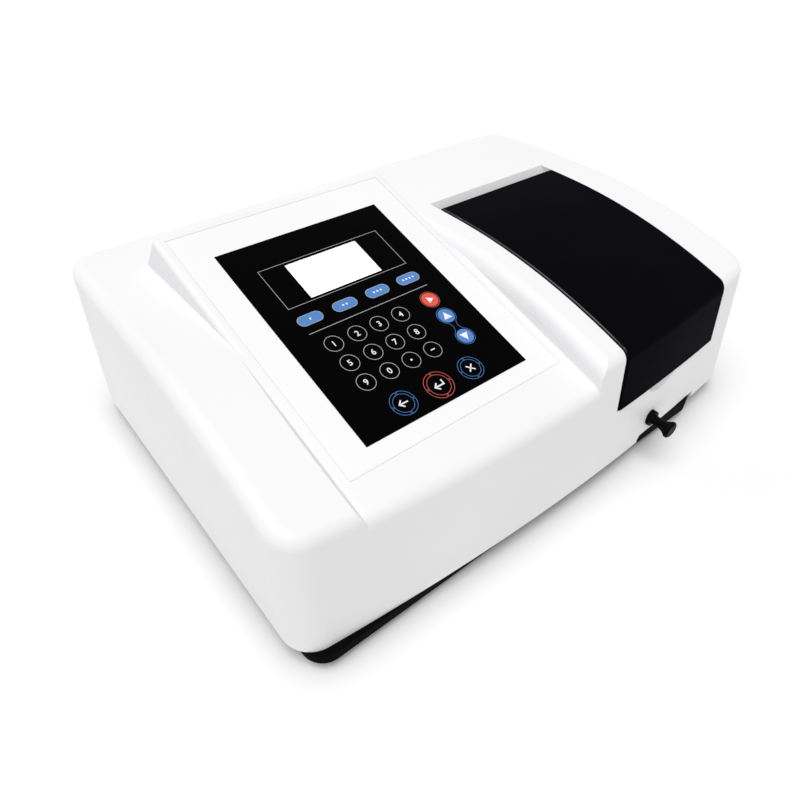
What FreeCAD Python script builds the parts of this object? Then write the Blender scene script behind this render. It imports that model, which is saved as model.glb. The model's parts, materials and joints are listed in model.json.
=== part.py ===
import FreeCAD, Part
import math
import os
import re
import Sketcher

# Bench spectrophotometer for ultraviolet and visible light, in millimetres.
# The origin is on the bench under the middle of the instrument. +X is to the
# user's right, +Y to the back and +Z up. The sample chamber is at the right.

doc = FreeCAD.newDocument("uv_vis_spectrophotometer")
sheet = doc.addObject("Spreadsheet::Sheet", "Dims")

SIZES = [
    ("foot_height", 8, "rubber foot below the base tray"),
    ("plinth_height", 8, "base tray below the cover's edge"),
    ("case_width", 480, "cover across its front corners"),
    ("case_taper", 9, "how much each side draws in towards the back"),
    ("front_y", -157.8, "most forward point of the cover's lower edge"),
    ("back_y", 174.5, "back wall of the cover"),
    ("bow_radius", 2200, "bow of the front wall in plan"),
    ("front_lean", 7.2, "lean of the front wall in degrees"),
    ("corner_radius", 22, "upright corners of the cover"),
    ("brow_radius", 10, "rounding where the walls meet the top"),
    ("wall", 3, "moulded wall of the cover"),
    ("arch_radius", 556, "fall of the top towards the front"),
    ("left_crest_y", 51, "where the left shoulder becomes level"),
    ("left_crest_z", 143, "height of the left shoulder"),
    ("right_crest_y", 33, "crest of the chamber hood"),
    ("right_crest_z", 149.5, "height of the chamber hood"),
    ("hood_radius", 1542, "fall of the chamber hood towards the back"),
    ("hood_edge_radius", 11, "rounding of the hood's left edge"),
    ("panel_left", -184, "left edge of the control console"),
    ("panel_right", 21, "right edge of the control console"),
    ("panel_slope", 15, "tilt of the control console in degrees"),
    ("panel_front_y", -144, "reference line of the console's plane"),
    ("panel_front_z", 103, "height of the console's plane there"),
    ("panel_back_y", 111, "top edge of the console"),
    ("console_foot_y", 132, "foot of the console's back slope"),
    ("console_radius", 4, "rounding of the console's free edges"),
    ("console_split_y", -100, "joint between the console's front and its wedge"),
    ("wedge_start_y", -60, "front end of the console's wedge"),
    ("console_drop", 45, "depth of the console's front part"),
    ("tool_reach", 40, "how far the cutting shapes reach out in front"),
    ("insert_left", -176, "left edge of the panel insert"),
    ("insert_right", 13, "right edge of the panel insert"),
    ("insert_low", 32, "lower edge of the insert, up the slope"),
    ("insert_high", 258, "upper edge of the insert, up the slope"),
    ("seam", 0.4, "gap round the panel insert"),
    ("flange", 3.6, "flange of the insert under the cover"),
    ("film_left", -153.5, "left edge of the keypad film"),
    ("film_low", 46, "lower edge of the keypad film, up the slope"),
    ("film_width", 144, "keypad film across"),
    ("film_height", 184, "keypad film up the slope"),
    ("film_thickness", 0.8, "keypad film"),
    ("film_proud", 0.3, "keypad film above the insert"),
    ("screen_left", -113.4, "left edge of the display window"),
    ("screen_low", 166, "lower edge of the display window"),
    ("screen_width", 64.4, "display window across"),
    ("screen_height", 35.3, "display window up the slope"),
    ("board_thickness", 1.6, "circuit boards"),
    ("keyboard_depth", 14, "keyboard board below the insert's face"),
    ("lid_left", 49, "left edge of the chamber lid"),
    ("lid_right", 191, "right edge of the chamber lid"),
    ("lid_back", 59.7, "back edge of the chamber lid"),
    ("lid_bottom", 70.4, "lower edge of the lid's front"),
    ("lid_gap", 1, "gap round the chamber lid"),
    ("lid_wall", 2.5, "moulded wall of the lid"),
    ("lid_proud", 1.2, "lid above the hood"),
    ("lid_skirt", 14, "depth of the lid's sides"),
    ("lid_edge_radius", 2.2, "rounding of the lid's edges"),
    ("collar_depth", 20, "depth of the rim round the chamber"),
    ("recess_back", 73.2, "back of the sloping recess behind the lid"),
    ("recess_low", 131, "bottom of that recess"),
    ("pin_inset", 5.5, "lid's hinge axis from its back edge"),
    ("pin_drop", 7, "lid's hinge axis below the hood"),
    ("pin_radius", 2.5, "lid's hinge pins"),
    ("running_gap", 0.05, "radial clearance of a turning or sliding rod"),
    ("free_gap", 0.3, "gap between pieces that move past each other"),
    ("chamber_wall", 4, "plates of the sample chamber"),
    ("chamber_front", -134, "front plate of the sample chamber"),
    ("seal_thickness", 1.7, "light seal under the lid"),
    ("beam_y", -50, "light beam from the front"),
    ("beam_z", 50, "light beam above the bench"),
    ("beam_radius", 4, "passage of the light beam"),
    ("lens_radius", 8, "lenses in the chamber's walls"),
    ("cell_slot", 12.8, "square slot for one cuvette"),
    ("cell_pitch", 18, "from slot to slot"),
    ("cell_count", 4, "slots in the cuvette rack"),
    ("rack_wall", 5.6, "side plates of the rack"),
    ("rack_end", 4, "end plates of the rack"),
    ("rack_floor_z", 24, "underside of the rack"),
    ("rack_floor", 4, "floor plate of the rack"),
    ("rack_top_z", 62, "top of the rack"),
    ("rail_width", 6, "rails under the rack"),
    ("rod_x", 103.7, "pull rod from the middle"),
    ("rod_z", 34.9, "pull rod above the bench"),
    ("rod_radius", 3, "pull rod"),
    ("knob_front", -174.5, "front face of the pull knob"),
    ("knob_length", 15, "pull knob"),
    ("knob_radius", 7.3, "head of the pull knob"),
    ("knob_neck", 4, "neck of the pull knob"),
    ("bush_radius", 6.8, "flange of the rod's bush"),
    ("bush_sleeve", 4.6, "sleeve of the rod's bush"),
    ("bush_flange", 2.4, "thickness of the bush's flange"),
    ("tray_front", -153.1, "straight front of the base tray"),
    ("tray_side", 8, "base tray inside the cover's widest line"),
    ("tray_left", "=tray_side - case_width / 2", "left side of the base tray"),
    ("tray_nose_right", 177, "right end of the tray's front"),
    ("tray_notch", 15, "depth of the notch at the right front"),
    ("tray_corner", 16, "rounding of the tray's corners"),
    ("nose_corner", 13, "rounding of the tray's nose at the right"),
    ("tray_floor", 2.5, "floor of the base tray"),
    ("tray_rim", 3, "rim of the base tray"),
    ("tray_inset", 4, "tray inside the cover's outline"),
    ("cutout_left", 89, "cut-out in the cover's front edge"),
    ("cutout_right", 178.6, "right end of that cut-out"),
    ("cutout_height", 6, "height of that cut-out"),
    ("foot_radius", 10, "rubber foot"),
    ("foot_front_y", -122, "front feet"),
    ("foot_back_y", 135, "rear feet"),
    ("foot_left_x", -200, "left feet"),
    ("foot_right_x", 150, "right front foot"),
    ("rear_left", -170, "opening for the rear plate"),
    ("rear_right", 62, "right end of that opening"),
    ("rear_low", 24, "lower edge of that opening"),
    ("rear_high", 112, "upper edge of that opening"),
    ("plate_lap", 6, "rear plate behind the cover"),
    ("plate_thickness", 1.5, "rear plate"),
    ("inlet_x", -140, "mains inlet"),
    ("inlet_z", 48, "mains inlet above the bench"),
    ("switch_z", 88, "mains switch above the bench"),
    ("port_x", -72, "data sockets"),
    ("fan_x", 14, "fan"),
    ("fan_z", 66, "fan above the bench"),
    ("fan_size", 60, "fan frame across"),
    ("fan_depth", 15, "fan frame"),
    ("mono_left", -96, "left wall of the monochromator"),
    ("mono_front", -86, "front wall of the monochromator"),
    ("mono_back", 62, "back wall of the monochromator"),
    ("mono_top", 88, "top of the monochromator's case"),
    ("mono_wall", 4, "cast wall of the monochromator"),
    ("grating_x", -30, "axis of the grating"),
    ("grating_y", 30, "axis of the grating from the middle"),
    ("arm_length", 50, "sine arm of the grating table"),
    ("tip_radius", 3, "follower at the end of the sine arm"),
    ("screw_radius", 2.5, "lead screw"),
    ("screw_offset", 11, "lead screw beside the follower"),
    ("nut_length", 10, "nut on the lead screw"),
    ("motor_size", 26, "stepping motor across"),
    ("motor_depth", 12, "stepping motor"),
    ("slit_x", 20, "entrance slit"),
    ("lamp_left", -60, "left wall of the lamp house"),
    ("lamp_right", 44, "right wall of the lamp house"),
    ("lamp_front", 66, "front wall of the lamp house"),
    ("lamp_back", 150, "open back of the lamp house"),
    ("lamp_top", 112, "top of the lamp house"),
    ("sheet_wall", 2, "sheet metal inside"),
    ("mirror_y", 106, "axis of the source mirror"),
    ("wheel_radius", 22, "filter wheel"),
    ("wheel_throw", 15, "filters from the wheel's axis"),
    ("supply_side", 30, "power supply inside the cover's widest line"),
    ("supply_left", "=supply_side - case_width / 2", "left side of the power supply"),
    ("supply_width", 90, "power supply across"),
    ("supply_depth", 116, "power supply from front to back"),
    ("supply_height", 44, "power supply"),
    ("main_board_side", 24, "main board inside the cover's widest line"),
    ("main_board_left", "=main_board_side - case_width / 2", "left edge of the main board"),
    ("main_board_width", 106, "main board across"),
    ("main_board_depth", 130, "main board from front to back"),
    ("main_board_front", -128, "front edge of the main board"),
    ("supply_gap", 8, "main board to the power supply"),
    ("supply_front", "=main_board_front + main_board_depth + supply_gap", "power supply's front"),
    ("standoff_height", 9, "pillars under the main board"),
    ("detector_side", 14.3, "detector housing inside the cover's widest line"),
    ("vent_run", 70, "vent slots of the tray, from the first to the last"),
    ("edge_draft", 35, "lean of the left shoulder's step beside the console, in degrees"),
    ("rocker_pin", 1.2, "pin of the mains switch's rocker"),
]

for row, (alias, value, meaning) in enumerate(SIZES, start=1):
    sheet.set("A%d" % row, meaning)
    sheet.set("B%d" % row, str(value))
    sheet.setAlias("B%d" % row, alias)
doc.recompute()

ALIASES = set(alias for alias, value, meaning in SIZES)
nodes = []


def tie(text):
    """An expression in the sheet's words, as the document reads it."""
    def name(match):
        word = match.group(0)
        return "Dims." + word if word in ALIASES else word
    return re.sub(r"[A-Za-z_][A-Za-z_0-9]*", name, str(text))


def val(text):
    """The number that an expression gives now."""
    return float(sheet.evalExpression(tie(text)))


def place(item, x, y, z):
    for axis, text in zip("xyz", (x, y, z)):
        item.setExpression("Placement.Base." + axis, tie(text))
    return item


def box(name, x, y, z):
    """A block between two values along each axis."""
    item = doc.addObject("Part::Box", name)
    for prop, (low, high) in zip(("Length", "Width", "Height"), (x, y, z)):
        item.setExpression(prop, tie("(%s) - (%s)" % (high, low)))
    return place(item, x[0], y[0], z[0])


TURNS = {
    "x": FreeCAD.Rotation(FreeCAD.Vector(0, 1, 0), 90),
    "y": FreeCAD.Rotation(FreeCAD.Vector(1, 0, 0), -90),
    "z": FreeCAD.Rotation(),
}


def rod(name, radius, length, x, y, z, along="z"):
    item = doc.addObject("Part::Cylinder", name)
    item.Placement = FreeCAD.Placement(FreeCAD.Vector(), TURNS[along])
    item.setExpression("Radius", tie(radius))
    item.setExpression("Height", tie(length))
    return place(item, x, y, z)


def taper(name, low, high, length, x, y, z, along="z"):
    item = doc.addObject("Part::Cone", name)
    item.Placement = FreeCAD.Placement(FreeCAD.Vector(), TURNS[along])
    item.setExpression("Radius1", tie(low))
    item.setExpression("Radius2", tie(high))
    item.setExpression("Height", tie(length))
    return place(item, x, y, z)


def ball(name, radius, x, y, z):
    item = doc.addObject("Part::Sphere", name)
    item.setExpression("Radius", tie(radius))
    return place(item, x, y, z)


def fuse(name, *pieces):
    item = doc.addObject("Part::MultiFuse", name)
    item.Shapes = list(pieces)
    item.Refine = True
    return item


def common(name, *pieces):
    item = doc.addObject("Part::MultiCommon", name)
    item.Shapes = list(pieces)
    item.Refine = True
    return item


def cut(name, base, *tools):
    item = doc.addObject("Part::Cut", name)
    item.Base = base
    item.Tool = tools[0] if len(tools) == 1 else fuse(name + "_tools", *tools)
    item.Refine = True
    return item


def unrefined(item):
    """For a thin shell whose faces meet at small angles and are better left as they are."""
    item.Refine = False
    return item


def group(name, pieces):
    item = doc.addObject("Part::Compound", name)
    item.Links = list(pieces)
    return item


def node(label, item):
    item.Label = label
    nodes.append(item)
    return item


def fillet(name, base, radius, test):
    """Round the edges of base for which test(edge) is true."""
    doc.recompute()
    item = doc.addObject("Part::Fillet", name)
    item.Base = base
    size = val(radius)
    edges = enumerate(base.Shape.Edges, start=1)
    item.Edges = [(number, size, size) for number, edge in edges if test(edge)]
    return item


def ends(edge):
    return [vertex.Point for vertex in edge.Vertexes]


def middle(edge):
    low, high = edge.ParameterRange
    return edge.valueAt((low + high) / 2)


def upright(edge):
    """True for a straight edge that rises more than it runs."""
    points = ends(edge)
    if len(points) < 2:
        return False
    run = points[1] - points[0]
    return abs(run.z) > 0.8 * run.Length


PLANES = {
    "xy": FreeCAD.Rotation(),
    "yz": FreeCAD.Rotation(
        FreeCAD.Vector(0, 1, 0), FreeCAD.Vector(0, 0, 1), FreeCAD.Vector(1, 0, 0), "XYZ"),
    "xz": FreeCAD.Rotation(
        FreeCAD.Vector(1, 0, 0), FreeCAD.Vector(0, 0, 1), FreeCAD.Vector(0, -1, 0), "XYZ"),
}


def outline(name, plane, offset, points, arcs=None):
    """A closed sketch. arcs gives the radius and centre of the segments that are round."""
    arcs = arcs or {}
    sketch = doc.addObject("Sketcher::SketchObject", name)
    sketch.Placement = FreeCAD.Placement(FreeCAD.Vector(), PLANES[plane])
    spots = [FreeCAD.Vector(val(u), val(v), 0) for u, v in points]
    starts = []
    for number, spot in enumerate(spots):
        following = spots[(number + 1) % len(spots)]
        if number in arcs:
            radius, centre_u, centre_v = arcs[number]
            centre = FreeCAD.Vector(val(centre_u), val(centre_v), 0)
            circle = Part.Circle(centre, FreeCAD.Vector(0, 0, 1), val(radius))
            first = circle.parameter(spot)
            last = circle.parameter(following)
            forward = (last - first) % (2 * math.pi) < math.pi
            span = (first, last) if forward else (last, first)
            geo = sketch.addGeometry(Part.ArcOfCircle(circle, span[0], span[1]))
            starts.append((geo, 1, 2) if forward else (geo, 2, 1))
        else:
            geo = sketch.addGeometry(Part.LineSegment(spot, following))
            starts.append((geo, 1, 2))
    for number, (geo, begin, end) in enumerate(starts):
        after, after_begin, unused = starts[(number + 1) % len(starts)]
        sketch.addConstraint(Sketcher.Constraint("Coincident", geo, end, after, after_begin))
    for number, (geo, begin, end) in enumerate(starts):
        for kind, text, value in (
                ("DistanceX", points[number][0], spots[number].x),
                ("DistanceY", points[number][1], spots[number].y)):
            place_on = Sketcher.Constraint(kind, -1, 1, geo, begin, value)
            index = sketch.addConstraint(place_on)
            sketch.setExpression("Constraints[%d]" % index, tie(text))
        if number in arcs:
            radius = arcs[number][0]
            index = sketch.addConstraint(Sketcher.Constraint("Radius", geo, val(radius)))
            sketch.setExpression("Constraints[%d]" % index, tie(radius))
    if plane == "xy":
        place(sketch, "0", "0", offset)
    elif plane == "yz":
        place(sketch, offset, "0", "0")
    else:
        place(sketch, "0", offset, "0")
    return sketch


def prism(name, sketch, length):
    item = doc.addObject("Part::Extrusion", name)
    item.Base = sketch
    item.DirMode = "Normal"
    item.Solid = True
    item.setExpression("LengthFwd", tie(length))
    return item


def on_panel(item, u, v, w):
    """Lay a piece on the console: u across, v up the slope, w out of its face."""
    item.Placement = FreeCAD.Placement(
        FreeCAD.Vector(), FreeCAD.Rotation(FreeCAD.Vector(1, 0, 0), val("panel_slope")))
    item.setExpression("Placement.Rotation.Angle", tie("panel_slope"))
    y = "panel_front_y + (%s) * cos(panel_slope) - (%s) * sin(panel_slope)" % (v, w)
    z = "panel_front_z + (%s) * sin(panel_slope) + (%s) * cos(panel_slope)" % (v, w)
    return place(item, u, y, z)


def panel_box(name, u, v, w):
    item = doc.addObject("Part::Box", name)
    for prop, (low, high) in zip(("Length", "Width", "Height"), (u, v, w)):
        item.setExpression(prop, tie("(%s) - (%s)" % (high, low)))
    return on_panel(item, u[0], v[0], w[0])


def panel_rod(name, radius, length, u, v, w):
    item = doc.addObject("Part::Cylinder", name)
    item.setExpression("Radius", tie(radius))
    item.setExpression("Height", tie(length))
    return on_panel(item, u, v, w)


# Heights and lines that several pieces share

COVER_BOTTOM = "(foot_height + plinth_height)"
FLOOR_TOP = "(foot_height + tray_floor)"
BOW_CENTRE = "(front_y + bow_radius)"
HIGH = "(right_crest_z + 60)"
FAR = "(case_width)"
OPEN_LEFT = "(lid_left - lid_gap)"
OPEN_RIGHT = "(lid_right + lid_gap)"
OPEN_BACK = "(lid_back + lid_gap)"
SILL = "(lid_bottom - lid_gap)"


def panel_plane(y, inset="0"):
    """Height of the console's plane, or of one that lies inset below it."""
    return "(panel_front_z + ((%s) - panel_front_y) * tan(panel_slope) - (%s) / cos(panel_slope))" % (
        y, inset)


# Outer form of the case: a leaning, bowed plan outline under an arched profile

def leaning_form(name, inset):
    """Upright sides and back, cut off by the bowed and leaning front wall."""
    half = "(case_width / 2 - (%s))" % inset
    back_half = "(case_width / 2 - case_taper - (%s))" % inset
    bow = "(bow_radius - (%s))" % inset
    reach = "(case_width * 0.7)"
    reach_y = "(%s - sqrt(%s * %s - %s * %s))" % (BOW_CENTRE, bow, bow, reach, reach)
    far_back = "(back_y + 90)"
    plan = outline(
        name + "_front_plan", "xy", COVER_BOTTOM,
        [("-" + reach, reach_y), (reach, reach_y), (reach, far_back), ("-" + reach, far_back)],
        {0: (bow, "0", BOW_CENTRE)})
    front = doc.addObject("Part::Extrusion", name + "_front")
    front.Base = plan
    front.DirMode = "Custom"
    front.Solid = True
    lean = math.radians(val("front_lean"))
    front.Dir = FreeCAD.Vector(0, math.sin(lean), math.cos(lean))
    front.setExpression("Dir.y", tie("sin(front_lean)"))
    front.setExpression("Dir.z", tie("cos(front_lean)"))
    front.setExpression("LengthFwd", tie("(%s - %s) / cos(front_lean)" % (HIGH, COVER_BOTTOM)))
    back = "(back_y - (%s))" % inset
    before = "(front_y - tool_reach)"
    sides = outline(
        name + "_sides_plan", "xy", COVER_BOTTOM,
        [("-" + half, before), (half, before), (back_half, back), ("-" + back_half, back)])
    walls = prism(name + "_sides", sides, "%s - %s" % (HIGH, COVER_BOTTOM))
    return common(name + "_block", front, walls)


def leaning_block(name, inset):
    block = leaning_form(name, inset)
    return fillet(name + "_corners", block, "corner_radius - (%s)" % inset, upright)


def arch_profile(name, inset, crest_y, crest_z, back_radius, left, right):
    """The side profile: an arc at the front, level or falling behind the crest."""
    front = "(front_y - tool_reach)"
    radius = "(arch_radius - (%s))" % inset
    centre_z = "(%s - arch_radius)" % crest_z
    crest = "(%s - (%s))" % (crest_z, inset)
    reach = "(%s - %s)" % (crest_y, front)
    front_z = "(%s + sqrt(%s * %s - %s * %s))" % (centre_z, radius, radius, reach, reach)
    back = "(back_y - (%s))" % inset
    arcs = {3: (radius, crest_y, centre_z)}
    back_z = crest
    if back_radius:
        fall_radius = "(%s - (%s))" % (back_radius, inset)
        run = "(%s - %s)" % (back, crest_y)
        back_z = "(%s - %s + sqrt(%s * %s - %s * %s))" % (
            crest_z, back_radius, fall_radius, fall_radius, run, run)
        arcs[2] = (fall_radius, crest_y, "(%s - %s)" % (crest_z, back_radius))
    points = [(front, "foot_height"), (back, "foot_height"), (back, back_z), (crest_y, crest),
              (front, front_z)]
    return prism(name, outline(name + "_line", "yz", left, points, arcs), "%s - (%s)" % (right, left))


def shoulder(name, inset):
    """The whole case under the left shoulder's arch."""
    block = leaning_block(name, inset)
    arch = arch_profile(name + "_arch", inset, "left_crest_y", "left_crest_z", None,
                        "-" + FAR, FAR)
    body = common(name + "_body", block, arch)
    radius = "brow_radius - (%s)" % inset
    seam_y = val("left_crest_y")

    def brow(edge):
        spot = middle(edge)
        across = abs(spot.y - seam_y) < 0.01 and abs(ends(edge)[0].x + ends(edge)[1].x) < 1
        if upright(edge) or across:
            return False
        return spot.z > val("panel_front_z") - 25
    return fillet(name, body, radius, brow), block


def hood(name, inset, block):
    """The higher hood over the sample chamber, with a rounded left edge."""
    arch = hood_profile(name + "_arch", inset, "panel_right + (%s)" % inset, FAR)
    body = common(name + "_body", block, arch)
    left = val("panel_right + (%s)" % inset)
    seam_y = val("right_crest_y")

    def top(edge):
        spot = middle(edge)
        points = ends(edge)
        across = abs(points[0].y - seam_y) < 0.01 and abs(points[-1].y - seam_y) < 0.01
        return not upright(edge) and not across and spot.z > val("panel_front_z") - 25

    def left_edge(edge):
        return top(edge) and abs(middle(edge).x - left) < 0.01

    def other_edges(edge):
        return top(edge) and not abs(middle(edge).x - left) < 0.01
    doc.recompute()
    item = doc.addObject("Part::Fillet", name)
    item.Base = body
    brow = val("brow_radius - (%s)" % inset)
    side = val("hood_edge_radius - (%s)" % inset)
    picked = []
    for number, edge in enumerate(body.Shape.Edges, start=1):
        if left_edge(edge):
            picked.append((number, side, side))
        elif other_edges(edge):
            picked.append((number, brow, brow))
    item.Edges = picked
    return item


def hood_profile(name, inset, left, right):
    return arch_profile(name, inset, "right_crest_y", "right_crest_z", "hood_radius", left, right)


def hood_core(name, inset):
    """The space that lies inset below the hood's top and behind its front, unrounded."""
    return common(name, leaning_form(name, inset), hood_profile(name + "_arch", inset, "0", FAR))


def console(name, inset):
    """The wedge that carries the control panel."""
    low = "(panel_front_z - 10)"
    start = "wedge_start_y"
    top_y = "(panel_back_y - (%s))" % inset
    foot_y = "(console_foot_y - 1.4 * (%s))" % inset
    foot_z = "(left_crest_z - (%s))" % inset
    points = [(start, low), (foot_y, low), (foot_y, foot_z), (top_y, panel_plane(top_y, inset)),
              (start, panel_plane(start, inset))]
    line = outline(name + "_line", "yz", "panel_left + (%s)" % inset, points)
    wedge = prism(name + "_wedge", line, "panel_right - panel_left - 2 * (%s)" % inset)
    above = val(foot_z) + 1

    def free_edges(edge):
        points_there = ends(edge)
        highest = max(point.z for point in points_there)
        return highest > above and not all(abs(p.y - val(start)) < 0.01 for p in points_there)
    return fillet(name, wedge, "console_radius - (%s)" % inset, free_edges)


def console_front(name, inset, block):
    """The console's front, where its plane meets the leaning wall in a rounded edge."""
    back = "console_split_y"
    low = "(panel_front_z - console_drop)"
    front = "(front_y - tool_reach)"
    points = [(front, low), (back, low), (back, panel_plane(back, inset)),
              (front, panel_plane(front, inset))]
    line = outline(name + "_line", "yz", "panel_left - (%s)" % inset, points)
    slab = prism(name + "_slab", line, "panel_right - panel_left + 2 * (%s)" % inset)
    body = common(name + "_body", block, slab)
    limit = val(panel_plane(back, inset)) - 1

    def front_edge(edge):
        spot = middle(edge)
        points_there = ends(edge)
        across = abs(points_there[0].x - points_there[-1].x) > 50
        return across and spot.z > val(low) + 5 and spot.y < val(back) - 5 and spot.z < limit
    return fillet(name, body, "brow_radius - (%s)" % inset, front_edge)


def edge_wedge(name, inset):
    """Leans back the step between the left shoulder and the console."""
    item = doc.addObject("Part::Wedge", name)
    run = "insert_high + 2 * tool_reach"
    for prop, text in (
            ("Xmin", "0"), ("Xmax", "1"), ("X2min", "-tool_reach * tan(edge_draft)"), ("X2max", "1"),
            ("Ymin", "0"), ("Ymax", "tool_reach"),
            ("Zmin", "0"), ("Zmax", run), ("Z2min", "0"), ("Z2max", run)):
        item.setExpression(prop, tie(text))
    on_panel(item, "panel_left - (%s)" % inset, "insert_high",
             "-(%s) * tan(edge_draft / 2)" % inset)
    item.setExpression("Placement.Rotation.Angle", tie("panel_slope + 90"))
    return item


def housing(name, inset):
    """The full outer form of the case, or one that lies inset inside it."""
    base, block = shoulder(name + "_shoulder", inset)
    left = "panel_left - (%s)" % inset
    right = "panel_right + (%s)" % inset
    front = "(front_y - tool_reach)"
    end = "(panel_back_y - (%s))" % inset
    points = [(front, panel_plane(front, inset)), (end, panel_plane(end, inset)), (end, HIGH),
              (front, HIGH)]
    line = outline(name + "_above_line", "yz", left, points)
    above = prism(name + "_above", line, "(%s) - (%s)" % (right, left))
    room = box(name + "_front_room", (left, right), (front, "console_split_y"),
               ("panel_front_z - console_drop", HIGH))
    cleared = cut(name + "_cleared", base, above, room, edge_wedge(name + "_edge", inset))
    hood_part = hood(name + "_hood", inset, block)
    return fuse(name, cleared, console_front(name + "_front", inset, block),
                console(name + "_console", inset), hood_part), block


# Small helpers for pieces built as bodies

def body(name):
    return doc.addObject("PartDesign::Body", name)


def body_sketch(owner, name, role, offset, draw):
    """A sketch on one of the body's own planes, moved along that plane's normal."""
    sketch = owner.newObject("Sketcher::SketchObject", name)
    plane = [item for item in owner.Origin.OriginFeatures if item.Role == role][0]
    sketch.AttachmentSupport = [(plane, "")]
    sketch.MapMode = "FlatFace"
    sketch.setExpression("AttachmentOffset.Base.z", tie(offset))
    draw(sketch)
    return sketch


def tie_point(sketch, geo, vertex, u, v):
    for kind, text in (("DistanceX", u), ("DistanceY", v)):
        index = sketch.addConstraint(Sketcher.Constraint(kind, -1, 1, geo, vertex, val(text)))
        sketch.setExpression("Constraints[%d]" % index, tie(text))


def polygon(points):
    def draw(sketch):
        spots = [FreeCAD.Vector(val(u), val(v), 0) for u, v in points]
        count = len(spots)
        for number in range(count):
            sketch.addGeometry(Part.LineSegment(spots[number], spots[(number + 1) % count]))
        for number, (u, v) in enumerate(points):
            before = (number - 1) % count
            sketch.addConstraint(Sketcher.Constraint("Coincident", before, 2, number, 1))
            tie_point(sketch, number, 1, u, v)
    return draw


def circles(spots, radius):
    def draw(sketch):
        for u, v in spots:
            centre = FreeCAD.Vector(val(u), val(v), 0)
            geo = sketch.addGeometry(Part.Circle(centre, FreeCAD.Vector(0, 0, 1), val(radius)))
            tie_point(sketch, geo, 3, u, v)
            index = sketch.addConstraint(Sketcher.Constraint("Radius", geo, val(radius)))
            sketch.setExpression("Constraints[%d]" % index, tie(radius))
    return draw


def pad(owner, sketch, length):
    item = owner.newObject("PartDesign::Pad", sketch.Name + "_pad")
    item.Profile = sketch
    item.setExpression("Length", tie(length))
    return item


def pocket(owner, sketch, length):
    item = owner.newObject("PartDesign::Pocket", sketch.Name + "_pocket")
    item.Profile = sketch
    item.setExpression("Length", tie(length))
    return item


def side_x(y):
    """Half width of the cover's outside at a distance from the middle."""
    return (
        "(case_width / 2 - case_taper * ((%s) - front_y + tool_reach)"
        " / (back_y - front_y + tool_reach))" % y)


def screw(name, head_radius, head, shank_radius, shank, x, y, z, along="z", turn=1):
    """A pan-head screw. Its head starts at z and its shank points along the axis."""
    ups = {"x": (1, 0, 0), "y": (0, 1, 0), "z": (0, 0, 1)}[along]
    if turn > 0:
        tip = ["(%s) + (%s) * %d" % (at, head, step) for at, step in zip((x, y, z), ups)]
    else:
        tip = ["(%s) - (%s) * %d" % (at, shank, step) for at, step in zip((x, y, z), ups)]
    cap = rod(name + "_cap", head_radius, head, x, y, z, along)
    stem = rod(name + "_stem", shank_radius, shank, *tip, along=along)
    return fuse(name, cap, stem)


# Top cover: the moulded shell with its console, hood, chamber rim and openings

outer, outer_block = housing("case_outer", "0")
inner, inner_block = housing("case_inner", "wall")
skin = unrefined(cut("cover_skin", outer, inner))

rim_x = ("%s - wall" % OPEN_LEFT, "%s + wall" % OPEN_RIGHT)
open_x = (OPEN_LEFT, OPEN_RIGHT)
before_front = "(front_y - tool_reach - 5)"
rim_block = box("rim_block", rim_x, (before_front, OPEN_BACK), ("%s - wall" % SILL, HIGH))
rim_form = common("rim_form", rim_block, hood("rim_hood", "wall / 2", outer_block))
rim = cut("rim", rim_form, hood_core("rim_core", "collar_depth"))
recess_line = outline("recess_slab_line", "yz", rim_x[0], [
    (OPEN_BACK, "recess_low - 2 * wall"),
    ("recess_back + wall", "right_crest_z - 3 * wall"),
    ("recess_back + wall", "right_crest_z - wall / 2"),
    (OPEN_BACK, "right_crest_z - wall / 2")])
recess_slab = prism("recess_slab", recess_line, "(%s) - (%s)" % (rim_x[1], rim_x[0]))
recess_void_line = outline("recess_void_line", "yz", OPEN_LEFT, [
    ("%s - wall" % OPEN_BACK, "recess_low"),
    (OPEN_BACK, "recess_low"),
    ("recess_back", "right_crest_z - 0.5"),
    ("recess_back", HIGH),
    ("%s - wall" % OPEN_BACK, HIGH)])
recess_void = prism("recess_void", recess_void_line, "(%s) - (%s)" % (OPEN_RIGHT, OPEN_LEFT))

SCREW_FRONT_Y = "(foot_front_y + 17)"
SCREW_BACK_Y = "(foot_back_y + 5)"
screw_spots = []
for level, y in (("front", SCREW_FRONT_Y), ("back", SCREW_BACK_Y)):
    for side, sign in (("left", "-"), ("right", "")):
        screw_spots.append((level + "_" + side, "%s(%s - 14)" % (sign, side_x(y)), y, sign))
bosses = []
for label, x, y, sign in screw_spots:
    wall_x = "(%s - wall / 2)" % side_x(y)
    reach = ("-" + wall_x, "(%s) + 6" % x) if sign else ("(%s) - 6" % x, wall_x)
    block = box("boss_" + label, reach, ("%s - 6" % y, "%s + 6" % y),
                (COVER_BOTTOM, "%s + 18" % COVER_BOTTOM))
    hole = rod("boss_hole_" + label, "1.5", "12", x, y, COVER_BOTTOM)
    bosses.append(cut("bored_boss_" + label, block, hole))

ROD_FRONT = "(front_y + 4)"
scoop_backing = box("scoop_backing", ("rod_x - 16", "rod_x + 34"),
                    ("front_y + 7", "front_y + 17"), ("%s - 16" % SILL, "%s - wall" % SILL))
scoop_form = common("scoop_form", scoop_backing, outer_block)
scoop = doc.addObject("Part::Ellipsoid", "scoop")
scoop.Radius1 = 9
scoop.Radius2 = 20
scoop.Radius3 = 5.5
place(scoop, "rod_x + 9", "front_y + 8", SILL)

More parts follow.
